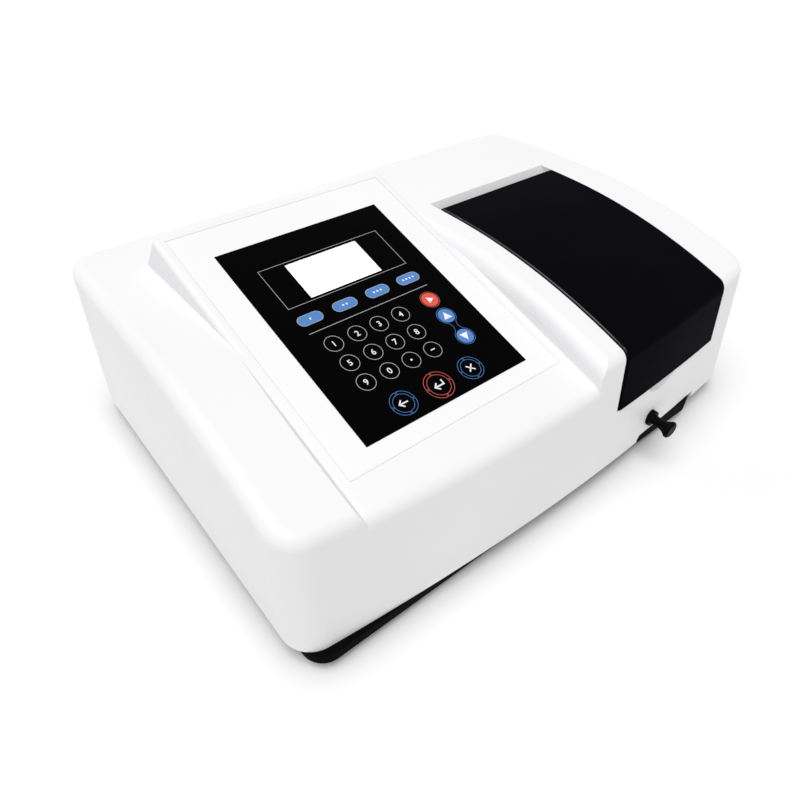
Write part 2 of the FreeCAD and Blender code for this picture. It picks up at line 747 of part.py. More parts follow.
opening = box("lid_opening", open_x, (before_front, OPEN_BACK), (SILL, HIGH))
insert_opening = panel_box(
    "insert_opening", ("insert_left - seam", "insert_right + seam"),
    ("insert_low - seam", "insert_high + seam"), ("-2 * wall", "wall"))
rear_opening = box("rear_opening", ("rear_left", "rear_right"), ("back_y - 2 * wall", "back_y + 1"),
                   ("rear_low", "rear_high"))
rod_hole = rod("rod_hole", "bush_sleeve", "20", "rod_x", "front_y - 5", "rod_z", "y")
cutout_line = outline("cutout_line", "xz", "front_y + 25", [
    ("cutout_left", "%s - 1" % COVER_BOTTOM),
    ("cutout_right", "%s - 1" % COVER_BOTTOM),
    ("cutout_right", "%s + cutout_height" % COVER_BOTTOM),
    ("cutout_left + 3", "%s + cutout_height" % COVER_BOTTOM),
    ("cutout_left", "%s + cutout_height - 4" % COVER_BOTTOM)])
cutout = prism("cutout", cutout_line, "30")
pin_y = "(lid_back - pin_inset)"
pin_z = "(right_crest_z - pin_drop)"
pin_bore = rod("pin_bore", "pin_radius + running_gap", "(%s) - (%s)" % (rim_x[1], rim_x[0]),
               rim_x[0], pin_y, pin_z, "x")

corner_spots = [
    (x, z) for x in ("rear_left - 3", "rear_right + 3") for z in ("rear_low + 8", "rear_high - 8")]
rear_screw_holes = [
    rod("rear_screw_hole_%d" % number, "1.2", "plate_thickness + wall - 1", x,
        "back_y - wall - plate_thickness", z, "y")
    for number, (x, z) in enumerate(corner_spots)]
flange_spots = []
for u in ("insert_left - seam - flange / 2", "insert_right + seam + flange / 2"):
    flange_spots.append((u, "insert_low + 20"))
    flange_spots.append((u, "insert_high - 20"))
flange_holes = [
    panel_rod("flange_hole_%d" % number, "1.1", "wall - 1", u, v, "-wall")
    for number, (u, v) in enumerate(flange_spots)]

solid_cover = unrefined(fuse("solid_cover", skin, rim, recess_slab, scoop_form, *bosses))
node("top_cover", unrefined(cut(
    "top_cover", solid_cover, opening, recess_void, insert_opening, rear_opening, rod_hole, cutout,
    pin_bore, scoop, *(flange_holes + rear_screw_holes))))

# Control panel: insert, film, display and keyboard board, all laid on the console's plane

plate = panel_box("insert_plate", ("insert_left", "insert_right"), ("insert_low", "insert_high"),
                  ("-wall", "0"))
lap_plate = panel_box(
    "insert_lap", ("insert_left - seam - flange", "insert_right + seam + flange"),
    ("insert_low - seam - flange", "insert_high + seam + flange / 4"), ("-wall - 2", "-wall"))
film_bed = panel_box(
    "film_bed", ("film_left", "film_left + film_width"), ("film_low", "film_low + film_height"),
    ("film_proud - film_thickness", "1"))
screen_hole = panel_box(
    "screen_hole", ("screen_left", "screen_left + screen_width"),
    ("screen_low", "screen_low + screen_height"), ("-2 * wall", "1"))
tail_slot = panel_box("tail_slot", ("film_left + 60", "film_left + 82"), ("film_low + 4", "film_low + 8"),
                      ("-2 * wall", "1"))
insert_holes = [
    panel_rod("insert_hole_%d" % number, "1.1", "4", u, v, "-wall - 3")
    for number, (u, v) in enumerate(flange_spots)]
pillar_spots = []
for u in ("film_left + 6", "film_left + film_width - 6"):
    for v in ("film_low + 12", "film_low + film_height - 12"):
        pillar_spots.append((u, v))
pillars = [
    panel_rod("pillar_%d" % number, "3", "keyboard_depth - wall - 2", u, v, "-keyboard_depth")
    for number, (u, v) in enumerate(pillar_spots)]
insert_solid = fuse("insert_solid", plate, lap_plate, *pillars)
node("control_panel", cut("control_panel", insert_solid, film_bed, screen_hole, tail_slot,
                          *insert_holes))
node("panel_screws", group("panel_screws", [
    fuse("panel_screw_%d" % number,
         panel_rod("panel_screw_head_%d" % number, "1.8", "1.6", u, v, "-wall - 2 - 1.6"),
         panel_rod("panel_screw_stem_%d" % number, "1.1", "3.8", u, v, "-wall - 2"))
    for number, (u, v) in enumerate(flange_spots)]))

film = panel_box("film_sheet", ("film_left", "film_left + film_width"),
                 ("film_low", "film_low + film_height"), ("film_proud - film_thickness", "film_proud"))
film_window = panel_box(
    "film_window", ("screen_left", "screen_left + screen_width"),
    ("screen_low", "screen_low + screen_height"), ("-wall", "wall"))
node("keypad_film", cut("keypad_film", film, film_window))
node("lcd_window", panel_box(
    "lcd_window", ("screen_left", "screen_left + screen_width"),
    ("screen_low", "screen_low + screen_height"), ("film_proud - 2", "film_proud - 0.1")))
lcd_body = panel_box(
    "lcd_body", ("screen_left - 9", "screen_left + screen_width + 9"),
    ("screen_low - 9", "screen_low + screen_height + 9"), ("-keyboard_depth", "-wall - 2"))
lcd_glass = panel_box(
    "lcd_glass", ("screen_left + 0.5", "screen_left + screen_width - 0.5"),
    ("screen_low + 0.5", "screen_low + screen_height - 0.5"), ("-wall - 2", "film_proud - 2"))
node("lcd_module", fuse("lcd_module", lcd_body, lcd_glass))
node("keyboard_board", panel_box(
    "keyboard_board", ("film_left", "film_left + film_width"),
    ("film_low + 4", "film_low + film_height - 4"),
    ("-keyboard_depth - board_thickness", "-keyboard_depth")))

# Base tray with its nose, feet and the screws that hold the cover

tray = body("base_tray")
tray_back_half = "(%s - tray_inset)" % side_x("back_y")
tray_right = "(-tray_left)"
tray_points = [
    ("tray_left", "tray_front"),
    ("tray_nose_right", "tray_front"),
    ("tray_nose_right", "tray_front + tray_notch"),
    (tray_right, "tray_front + tray_notch"),
    (tray_back_half, "back_y - tray_inset"),
    ("-" + tray_back_half, "back_y - tray_inset")]
tray_plate = pad(tray, body_sketch(tray, "tray_plan", "XY_Plane", "foot_height",
                                  polygon(tray_points)), "plinth_height")
doc.recompute()


def corner_names(shape, test):
    names = []
    for number, edge in enumerate(shape.Edges, start=1):
        if upright(edge) and test(middle(edge)):
            names.append("Edge%d" % number)
    return names


def body_fillet(owner, name, base, radius, test):
    item = owner.newObject("PartDesign::Fillet", name)
    item.Base = (base, corner_names(base.Shape, test))
    item.setExpression("Radius", tie(radius))
    doc.recompute()
    return item


tray_line = val("tray_front + 1")
round_tray = body_fillet(tray, "tray_round", tray_plate, "tray_corner",
                         lambda spot: spot.y > 0 or (spot.y < tray_line and spot.x < 0))
round_nose = body_fillet(tray, "tray_nose_round", round_tray, "nose_corner",
                         lambda spot: spot.y < tray_line and spot.x > 0)
inside_points = [
    ("tray_left + tray_rim", "tray_front + tray_corner"),
    ("tray_nose_right - tray_rim", "tray_front + tray_corner"),
    ("tray_nose_right - tray_rim", "tray_front + tray_notch + tray_rim"),
    ("%s - tray_rim" % tray_right, "tray_front + tray_notch + tray_rim"),
    ("%s - tray_rim" % tray_back_half, "back_y - tray_inset - tray_rim"),
    ("-%s + tray_rim" % tray_back_half, "back_y - tray_inset - tray_rim")]
pocket(tray, body_sketch(tray, "tray_inside", "XY_Plane", COVER_BOTTOM, polygon(inside_points)),
       "plinth_height - tray_floor")
boss_spots = [(x, y) for label, x, y, sign in screw_spots]
pad(tray, body_sketch(tray, "tray_bosses", "XY_Plane", FLOOR_TOP, circles(boss_spots, "5")),
    "plinth_height - tray_floor")
nose_x = "(tray_nose_right - nose_corner)"
nose_points = [("cutout_left + 3.4", "tray_front"), (nose_x, "tray_front")]
for degrees in (30, 60, 80):
    nose_points.append(("%s + nose_corner * sin(%d deg)" % (nose_x, degrees),
                        "tray_front + nose_corner * (1 - cos(%d deg))" % degrees))
nose_points.append(("%s + nose_corner * sin(80 deg)" % nose_x, "tray_front + tray_corner - 4"))
nose_points.append(("cutout_left + 3.4", "tray_front + tray_corner - 4"))
pad(tray, body_sketch(tray, "tray_nose", "XY_Plane", COVER_BOTTOM, polygon(nose_points)),
    "cutout_height - 0.5")
foot_spots = [
    ("foot_left_x", "foot_front_y"),
    ("foot_right_x", "foot_front_y"),
    ("foot_left_x", "foot_back_y"),
    ("-foot_left_x", "foot_back_y")]
screw_holes = body_sketch(tray, "tray_holes", "XY_Plane", COVER_BOTTOM,
                          circles(boss_spots + foot_spots, "1.5"))
pocket(tray, screw_holes, "plinth_height + 1")
slot_x = "(supply_left + 12)"
vent_points = [
    (slot_x, "supply_front + 20"),
    ("%s + 3" % slot_x, "supply_front + 20"),
    ("%s + 3" % slot_x, "supply_front + supply_depth - 30"),
    (slot_x, "supply_front + supply_depth - 30")]
vent = pocket(tray, body_sketch(tray, "tray_vent", "XY_Plane", FLOOR_TOP, polygon(vent_points)),
              "tray_floor + 1")
doc.recompute()
vents = tray.newObject("PartDesign::LinearPattern", "tray_vents")
vents.Originals = [vent]
vents.Direction = (vent.Profile[0], ["H_Axis"])
vents.setExpression("Length", tie("vent_run"))
vents.Occurrences = 8
tray.Tip = vents
node("base_tray", tray)

feet = []
foot_screws = []
for number, (x, y) in enumerate(foot_spots):
    cone = taper("foot_cone_%d" % number, "foot_radius - 1.5", "foot_radius", "foot_height", x, y, "0")
    well = rod("foot_well_%d" % number, "3.2", "foot_height - 3", x, y, "0")
    bore = rod("foot_bore_%d" % number, "1.5", "foot_height", x, y, "0")
    feet.append(cut("foot_%d" % number, cone, well, bore))
    foot_screws.append(screw("foot_screw_%d" % number, "3", "2", "1.5", "tray_floor + 3",
                             x, y, "foot_height - 5"))
node("rubber_feet", group("rubber_feet", feet))
node("foot_screws", group("foot_screws", foot_screws))
node("cover_screws", group("cover_screws", [
    screw("cover_screw_" + label, "3", "1.8", "1.5", "plinth_height + 10", x, y, "foot_height - 1.8")
    for label, x, y, sign in screw_spots]))

# Rear plate with the mains inlet, switch, data sockets and fan

PLATE_BACK = "(back_y - wall)"
PLATE_FRONT = "(back_y - wall - plate_thickness)"
rear_x = ("rear_left - plate_lap", "rear_right + plate_lap")
rear_z = ("rear_low - plate_lap", "rear_high + plate_lap")
plate_blank = box("rear_blank", rear_x, (PLATE_FRONT, PLATE_BACK), rear_z)
inlet_hole = box("inlet_hole", ("inlet_x - 13.5", "inlet_x + 13.5"), (PLATE_FRONT + " - 1", "back_y"),
                 ("inlet_z - 10", "inlet_z + 10"))
switch_hole = box("switch_hole", ("inlet_x - 10.5", "inlet_x + 10.5"), (PLATE_FRONT + " - 1", "back_y"),
                  ("switch_z - 7", "switch_z + 7"))
PORTS = [
    ("parallel", 41, 11, 92),
    ("serial", 18, 11, 68),
    ("usb", 12, 11, 46)]
port_holes = [
    box(label + "_hole", ("port_x - %s / 2" % wide, "port_x + %s / 2" % wide),
        (PLATE_FRONT + " - 1", "back_y"), ("%s - %s / 2" % (z, high), "%s + %s / 2" % (z, high)))
    for label, wide, high, z in PORTS]
fan_hole = rod("fan_hole", "fan_size / 2 - 3", "plate_thickness + 4", "fan_x", PLATE_FRONT + " - 1",
               "fan_z", "y")
fan_pitch = "(fan_size / 2 - 5)"
fan_spots = [("fan_x + %s" % fan_pitch, "fan_z + %s" % fan_pitch),
             ("fan_x - %s" % fan_pitch, "fan_z + %s" % fan_pitch),
             ("fan_x + %s" % fan_pitch, "fan_z - %s" % fan_pitch),
             ("fan_x - %s" % fan_pitch, "fan_z - %s" % fan_pitch)]
fan_screw_holes = [
    rod("fan_screw_hole_%d" % number, "1.6", "plate_thickness + 4", x, PLATE_FRONT + " - 1", z, "y")
    for number, (x, z) in enumerate(fan_spots)]
corner_holes = [
    rod("corner_hole_%d" % number, "1.2", "4", x, PLATE_FRONT + " - 1", z, "y")
    for number, (x, z) in enumerate(corner_spots)]
node("rear_plate", cut("rear_plate", plate_blank, inlet_hole, switch_hole, fan_hole,
                       *(port_holes + fan_screw_holes + corner_holes)))
plate_screws = [
    screw("rear_screw_%d" % number, "2.8", "1.8", "1.2", "plate_thickness + 2", x,
          PLATE_FRONT + " - 1.8", z, "y")
    for number, (x, z) in enumerate(corner_spots)]
fan_screws = [
    screw("fan_screw_%d" % number, "2.8", "1.4", "1.6", "plate_thickness + 3", x, PLATE_BACK, z, "y", -1)
    for number, (x, z) in enumerate(fan_spots)]
node("rear_screws", group("rear_screws", plate_screws + fan_screws))

inlet_body = box("inlet_body", ("inlet_x - 13.5", "inlet_x + 13.5"),
                 (PLATE_BACK + " - 24", PLATE_BACK), ("inlet_z - 10", "inlet_z + 10"))
inlet_flange = box("inlet_flange", ("inlet_x - 24", "inlet_x + 24"), (PLATE_BACK, PLATE_BACK + " + 2"),
                   ("inlet_z - 11.5", "inlet_z + 11.5"))
inlet_mouth = box("inlet_mouth", ("inlet_x - 11.5", "inlet_x + 11.5"),
                  (PLATE_BACK + " - 16", PLATE_BACK + " + 3"), ("inlet_z - 7.5", "inlet_z + 7.5"))
inlet_shell = cut("inlet_shell", fuse("inlet_solid", inlet_body, inlet_flange), inlet_mouth)
inlet_pins = [
    box("inlet_pin_%d" % number, ("inlet_x + %s - 1" % x, "inlet_x + %s + 1" % x),
        (PLATE_BACK + " - 16", PLATE_BACK + " - 2"), ("inlet_z + %s - 2" % z, "inlet_z + %s + 2" % z))
    for number, (x, z) in enumerate([(-7, -1.5), (0, 2), (7, -1.5)])]
node("power_inlet", fuse("power_inlet", inlet_shell, *inlet_pins))
switch_body = box("switch_body", ("inlet_x - 10.5", "inlet_x + 10.5"),
                  (PLATE_BACK + " - 18", PLATE_BACK), ("switch_z - 7", "switch_z + 7"))
switch_flange = box("switch_flange", ("inlet_x - 12.5", "inlet_x + 12.5"),
                    (PLATE_BACK, PLATE_BACK + " + 1.5"), ("switch_z - 9", "switch_z + 9"))
switch_mouth = box("switch_mouth", ("inlet_x - 9", "inlet_x + 9"),
                   (PLATE_BACK + " - 8", PLATE_BACK + " + 2"), ("switch_z - 5.5", "switch_z + 5.5"))
rocker_y = PLATE_BACK + " - 4.5"
pin_hole = rod("rocker_pin_hole", "rocker_pin + running_gap", "12.8", "inlet_x", rocker_y, "switch_z - 6.4")
node("switch_frame", cut("switch_frame", fuse("switch_solid", switch_body, switch_flange), switch_mouth,
                         pin_hole))
rocker_line = outline("rocker_line", "xy", "switch_z - 5.2", [
    ("inlet_x - 7", PLATE_BACK + " - 3"),
    ("inlet_x", PLATE_BACK + " - 6"),
    ("inlet_x + 7", PLATE_BACK + " - 3"),
    ("inlet_x + 7", PLATE_BACK + " - 0.5"),
    ("inlet_x", PLATE_BACK + " - 1.5"),
    ("inlet_x - 7", PLATE_BACK + " + 2")])
pivot = rod("rocker_pivot", "rocker_pin", "12.6", "inlet_x", rocker_y, "switch_z - 6.3")
node("switch_rocker", fuse("switch_rocker", prism("rocker_block", rocker_line, "10.4"), pivot))

port_shells = []
for label, wide, high, z in PORTS:
    block = box(label + "_block", ("port_x - %s / 2" % wide, "port_x + %s / 2" % wide),
                (PLATE_BACK + " - 12", PLATE_BACK + " + 1.5"),
                ("%s - %s / 2" % (z, high), "%s + %s / 2" % (z, high)))
    mouth = box(label + "_mouth", ("port_x - %s / 2 + 1" % wide, "port_x + %s / 2 - 1" % wide),
                (PLATE_BACK + " - 6", PLATE_BACK + " + 2"),
                ("%s - %s / 2 + 1" % (z, high), "%s + %s / 2 - 1" % (z, high)))
    port_shells.append(cut(label + "_shell", block, mouth))
node("data_ports", group("data_ports", port_shells))

fan_block = box("fan_block", ("fan_x - fan_size / 2", "fan_x + fan_size / 2"),
                (PLATE_FRONT + " - fan_depth", PLATE_FRONT),
                ("fan_z - fan_size / 2", "fan_z + fan_size / 2"))
fan_bore = rod("fan_bore", "fan_size / 2 - 2", "fan_depth + 2", "fan_x", PLATE_FRONT + " - fan_depth - 1",
               "fan_z", "y")
fan_ears = [
    rod("fan_ear_hole_%d" % number, "1.6", "fan_depth + 2", x, PLATE_FRONT + " - fan_depth - 1", z, "y")
    for number, (x, z) in enumerate(fan_spots)]
fan_ring = cut("fan_ring", fan_block, fan_bore, *fan_ears)
fan_hub = rod("fan_hub", "10", "3", "fan_x", PLATE_FRONT + " - fan_depth", "fan_z", "y")
fan_arms = box("fan_arms", ("fan_x - fan_size / 2 + 1", "fan_x + fan_size / 2 - 1"),
               (PLATE_FRONT + " - fan_depth", PLATE_FRONT + " - fan_depth + 2.5"),
               ("fan_z - 2", "fan_z + 2"))
fan_pin = rod("fan_pin", "1.5", "fan_depth - 5", "fan_x", PLATE_FRONT + " - fan_depth", "fan_z", "y")
node("fan_frame", fuse("fan_frame", fan_ring, fan_hub, fan_arms, fan_pin))
rotor_hub = rod("rotor_hub", "10", "fan_depth - 5", "fan_x", PLATE_FRONT + " - fan_depth + 3.5",
                "fan_z", "y")
rotor_bore = rod("rotor_bore", "1.5 + running_gap", "fan_depth - 8", "fan_x",
                 PLATE_FRONT + " - fan_depth + 3", "fan_z", "y")
blades = []
BLADE_COUNT = 7
for number in range(BLADE_COUNT):
    blade = doc.addObject("Part::Box", "blade_%d" % number)
    blade.setExpression("Length", tie("fan_size / 2 - 13"))
    blade.setExpression("Width", tie("fan_depth - 7"))
    blade.Height = 1.2
    pitch = FreeCAD.Rotation(FreeCAD.Vector(1, 0, 0), 30)
    spin = FreeCAD.Rotation(FreeCAD.Vector(0, 1, 0), number * 360.0 / BLADE_COUNT)
    offset = spin.multVec(FreeCAD.Vector(9, 0, -2.3))
    blade.Placement = FreeCAD.Placement(FreeCAD.Vector(), spin.multiply(pitch))
    place(blade, "fan_x + %.4f" % offset.x, PLATE_FRONT + " - fan_depth + 5", "fan_z + %.4f" % offset.z)
    blades.append(blade)
node("fan_rotor", cut("fan_rotor", fuse("rotor_solid", rotor_hub, *blades), rotor_bore))
rings = []
for number in range(4):
    reach = "6 + %d * (fan_size / 2 - 8) / 3" % number
    ring = rod("guard_ring_%d" % number, reach + " + 0.8", "1.6", "fan_x", PLATE_BACK + " + 0.2", "fan_z", "y")
    inside = rod("guard_space_%d" % number, reach + " - 0.8", "2", "fan_x", PLATE_BACK, "fan_z", "y")
    rings.append(cut("guard_wire_%d" % number, ring, inside))
spokes = []
for number, (x, z) in enumerate(fan_spots[:2]):
    spoke = doc.addObject("Part::Box", "guard_spoke_%d" % number)
    spoke.setExpression("Length", tie("(%s) * 2 * sqrt(2) - 5" % fan_pitch))
    spoke.Width = 1.4
    spoke.Height = 1.6
    angle = -45 if number == 0 else -135
    spoke.Placement = FreeCAD.Placement(
        FreeCAD.Vector(), FreeCAD.Rotation(FreeCAD.Vector(0, 1, 0), angle))
    half = "((%s) * sqrt(2) - 2.5)" % fan_pitch
    cosine = math.cos(math.radians(angle))
    sine = math.sin(math.radians(angle))
    place(spoke, "fan_x - %s * %.5f - 0.8 * %.5f" % (half, cosine, sine), PLATE_BACK,
          "fan_z + %s * %.5f - 0.8 * %.5f" % (half, sine, cosine))
    spokes.append(spoke)
node("fan_guard", cut("fan_guard", fuse("guard_solid", *(rings + spokes)), *fan_screws))

# Sample chamber: plates, seal, lenses, rails and the sliding cuvette rack

in_left = "(%s + free_gap)" % OPEN_LEFT
in_right = "(%s - free_gap)" % OPEN_RIGHT
in_back = "(%s - free_gap)" % OPEN_BACK
free_left = "(%s + chamber_wall)" % in_left
free_right = "(%s - chamber_wall)" % in_right
free_back = "(%s - chamber_wall)" % in_back
free_front = "(chamber_front + chamber_wall)"
PLATE_DEPTH = "(lid_skirt + free_gap + seal_thickness)"
FLOOR_PLATE_TOP = "(%s + chamber_wall)" % FLOOR_TOP
node("chamber_floor", box("chamber_floor", (in_left, in_right), ("chamber_front", in_back),
                          (FLOOR_TOP, FLOOR_PLATE_TOP)))
side_y = ("chamber_front", in_back)
lower_z = (FLOOR_PLATE_TOP, "%s - wall" % SILL)
upper_z = ("%s - wall" % SILL, HIGH)
under = hood_core("plate_core", PLATE_DEPTH)


def chamber_plate(name, x, y, *holes):
    """A plate of the chamber that runs up under the lid and stands clear of the rim."""
    upper = common(name + "_upper", box(name + "_tall", x, y, upper_z), under)
    return cut(name, fuse(name + "_blank", box(name + "_lower", x, y, lower_z), upper), rim, *holes)


for label, x in (("left", (in_left, free_left)), ("right", (free_right, in_right))):
    name = "chamber_%s_wall" % label
    lens_hole = rod("lens_hole_" + label, "lens_radius", "chamber_wall + 2", "%s - 1" % x[0],
                    "beam_y", "beam_z", "x")
    node(name, chamber_plate(name, x, side_y, lens_hole))
node("chamber_back_wall", chamber_plate("chamber_back_wall", (free_left, free_right),
                                        (free_back, in_back)))
front_block = box("chamber_front_block", (free_left, free_right), ("chamber_front", free_front),
                  (FLOOR_PLATE_TOP, "%s - wall" % SILL))
front_hole = rod("front_plate_hole", "rod_radius + 0.5", "chamber_wall + 2", "rod_x",
                 "chamber_front - 1", "rod_z", "y")
node("chamber_front_wall", cut("chamber_front_wall", front_block, front_hole))
lenses = []
for label, x in (("left", free_left), ("right", free_right)):
    start = "%s - chamber_wall" % x if label == "left" else x
    disc = rod("lens_disc_" + label, "lens_radius", "chamber_wall", start, "beam_y", "beam_z", "x")
    dome = ball("lens_ball_" + label, "3 * lens_radius",
                "%s + chamber_wall - 3 * lens_radius" % start if label == "left"
                else "%s + 3 * lens_radius" % start, "beam_y", "beam_z")
    lenses.append(common("lens_" + label, disc, dome))
node("beam_lenses", group("beam_lenses", lenses))

seal_band = cut("seal_band", hood_core("seal_core", "lid_skirt + free_gap"), under)
seal_z = (SILL, HIGH)
seal_parts = [
    common("seal_left", seal_band, box("seal_left_box", (in_left, free_left), side_y, seal_z)),
    common("seal_right", seal_band, box("seal_right_box", (free_right, in_right), side_y, seal_z)),
    common("seal_back", seal_band, box("seal_back_box", (free_left, free_right),
                                       (free_back, in_back), seal_z)),
    box("seal_front", (free_left, free_right), ("chamber_front", "chamber_front + 3"),
        (SILL, "%s + lid_gap - free_gap" % SILL))]
node("lid_seal", group("lid_seal", seal_parts))

slots = [
    "beam_y + %d * cell_pitch" % number for number in range(int(val("cell_count")))]
RACK_X = "((lid_left + lid_right) / 2)"
SLOT_HALF = "(cell_slot / 2)"
rack_left = "(%s - %s - rack_wall)" % (RACK_X, SLOT_HALF)
rack_right = "(%s + %s + rack_wall)" % (RACK_X, SLOT_HALF)
rack_front = "(beam_y - %s - rack_end)" % SLOT_HALF
rack_back = "(%s + %s + rack_end)" % (slots[-1], SLOT_HALF)
RACK_DECK = "(rack_floor_z + rack_floor)"
keel = "(cell_slot / 2 - 2.5)"
rack_plate = body("rack_base")
rack_section = [
    (rack_left, "rack_floor_z"),
    ("%s - %s" % (RACK_X, keel), "rack_floor_z"),
    ("%s - %s" % (RACK_X, keel), "rack_floor_z - 6"),
    ("%s + %s" % (RACK_X, keel), "rack_floor_z - 6"),
    ("%s + %s" % (RACK_X, keel), "rack_floor_z"),
    (rack_right, "rack_floor_z"),
    (rack_right, RACK_DECK),
    (rack_left, RACK_DECK)]
rack_sketch = body_sketch(rack_plate, "rack_section", "XZ_Plane", "-" + rack_back,
                          polygon(rack_section))
pad(rack_plate, rack_sketch, "%s - %s" % (rack_back, rack_front))
node("rack_base", rack_plate)
sides = []
for label, low, high in (("left", rack_left, "%s + rack_wall" % rack_left),
                         ("right", "%s - rack_wall" % rack_right, rack_right)):
    block = box("rack_side_" + label, (low, high), (rack_front, rack_back), (RACK_DECK, "rack_top_z"))
    ports = [rod("rack_port_%s_%d" % (label, number), "beam_radius", "rack_wall + 2", "%s - 1" % low,
                 y, "beam_z", "x") for number, y in enumerate(slots)]
    sides.append(cut("bored_side_" + label, block, *ports))
node("rack_sides", group("rack_sides", sides))
dividers = [box("rack_end_front", ("%s - %s" % (RACK_X, SLOT_HALF), "%s + %s" % (RACK_X, SLOT_HALF)),
                (rack_front, "%s + rack_end" % rack_front), (RACK_DECK, "rack_top_z"))]
for number in range(len(slots) - 1):
    dividers.append(box(
        "rack_divider_%d" % number, ("%s - %s" % (RACK_X, SLOT_HALF), "%s + %s" % (RACK_X, SLOT_HALF)),
        ("%s + %s" % (slots[number], SLOT_HALF), "%s - %s" % (slots[number + 1], SLOT_HALF)),
        (RACK_DECK, "rack_top_z")))
dividers.append(box("rack_end_back", ("%s - %s" % (RACK_X, SLOT_HALF), "%s + %s" % (RACK_X, SLOT_HALF)),
                    ("%s - rack_end" % rack_back, rack_back), (RACK_DECK, "rack_top_z")))
node("rack_dividers", group("rack_dividers", dividers))
end_plate = box("end_plate_block", ("rod_x - rod_radius - 4", rack_right),
                ("%s - 3" % rack_front, rack_front), ("rack_floor_z", "rod_z + 12"))
end_hole = rod("end_plate_hole", "rod_radius", "5", "rod_x", "%s - 4" % rack_front, "rod_z", "y")
node("rack_end_plate", cut("rack_end_plate", end_plate, end_hole))
rails = []
for label, low in (("left", "%s - %s - 0.3 - rail_width" % (RACK_X, keel)),
                   ("right", "%s + %s + 0.3" % (RACK_X, keel))):
    rails.append(box("rail_" + label, (low, "%s + rail_width" % low),
                     ("%s - 3 * cell_pitch - 6" % rack_front, "%s + 6" % rack_back),
                     (FLOOR_PLATE_TOP, "rack_floor_z - free_gap")))
node("carriage_rails", group("carriage_rails", rails))

ROD_START = "(knob_front + 3)"
node("pull_rod", rod("pull_rod", "rod_radius", "%s - %s" % (rack_front, ROD_START), "rod_x", ROD_START,
                     "rod_z", "y"))
knob = body("knob_turned")
knob_back = "(knob_front + knob_length)"
knob_points = [
    ("0", "knob_front"),
    ("knob_radius - 1.5", "knob_front"),
    ("knob_radius", "knob_front + 1.2"),
    ("knob_radius", "knob_front + 3"),
    ("knob_neck + 0.8", "knob_front + 7"),
    ("knob_neck", "knob_front + 10"),
    ("knob_neck", knob_back),
    ("0", knob_back)]
knob_sketch = body_sketch(knob, "knob_profile", "XY_Plane", "0", polygon(knob_points))
knob_turn = knob.newObject("PartDesign::Revolution", "knob_turn")
knob_turn.Profile = knob_sketch
knob_turn.ReferenceAxis = (knob_sketch, ["V_Axis"])
knob_turn.Angle = 360
place(knob, "rod_x", "0", "rod_z")
knob_bore = rod("knob_bore", "rod_radius", "knob_length", "rod_x", ROD_START, "rod_z", "y")
node("pull_knob", cut("pull_knob_bored", knob, knob_bore))
bush_front = "(front_y + 3.6)"
bush_disc = rod("bush_disc", "bush_radius", "bush_flange + 4", "rod_x", "%s - bush_flange" % bush_front,
                "rod_z", "y")
bush_solid = fuse(
    "bush_solid", cut("bush_seat", bush_disc, outer_block),
    rod("bush_barrel", "bush_sleeve", "9", "rod_x", bush_front, "rod_z", "y"))
bush_bore = rod("bush_bore", "rod_radius + running_gap", "20", "rod_x", "%s - 5" % bush_front, "rod_z",
                "y")
node("rod_bush", cut("rod_bush", bush_solid, bush_bore))

# Chamber lid: a moulded cap that follows the hood, with hinge pins at its back

lid_x = ("lid_left", "lid_right")
lid_room = box("lid_room", lid_x, ("front_y - tool_reach", "lid_back"), ("lid_bottom", HIGH))
lid_hood = hood("lid_hood", "-lid_proud", leaning_block("lid_outline", "-lid_proud"))
lid_block = common("lid_block", lid_room, lid_hood)
lid_low = val("lid_bottom")


def lid_edge(edge):
    spot = middle(edge)
    points = ends(edge)
    on_side = abs(spot.x - val("lid_left")) < 0.01 or abs(spot.x - val("lid_right")) < 0.01
    at_back = abs(spot.y - val("lid_back")) < 0.01
    if at_back:
        return spot.z > lid_low + 60 and abs(points[0].x - points[-1].x) > 50
    return on_side and spot.z > lid_low + 1


lid_rounded = fillet("lid_rounded", lid_block, "lid_edge_radius", lid_edge)
lid_inside = box("lid_inside", ("lid_left + lid_wall", "lid_right - lid_wall"),
                 ("front_y - tool_reach", "lid_back - lid_wall"), ("lid_bottom - 1", HIGH))
lid_under = common("lid_under", lid_inside, hood_core("lid_under_core", "lid_wall - lid_proud"))
lid_shell = cut("lid_shell", lid_rounded, hood_core("lid_core", "lid_skirt"), lid_under)
lid_pin_bore = rod("lid_pin_bore", "pin_radius", "lid_right - lid_left + 2", "lid_left - 1", pin_y,
                   pin_z, "x")
heel = box("lid_heel", ("lid_left - 1", "lid_right + 1"), ("lid_back - 2 * pin_inset", "lid_back + 1"),
           ("lid_bottom - 1", pin_z + " - pin_radius - 1.5"))
node("chamber_lid", cut("chamber_lid", lid_shell, lid_pin_bore, heel))
pins = []
for label, low in (("left", "lid_left - lid_gap - wall + 0.4"), ("right", "lid_right - lid_wall - 3")):
    pins.append(rod("lid_pin_" + label, "pin_radius", "lid_gap + wall + lid_wall + 2.6", low, pin_y,
                    pin_z, "x"))
node("lid_pins", group("lid_pins", pins))

# Monochromator: cast case, cover, grating on a sine-bar drive, mirrors and slits

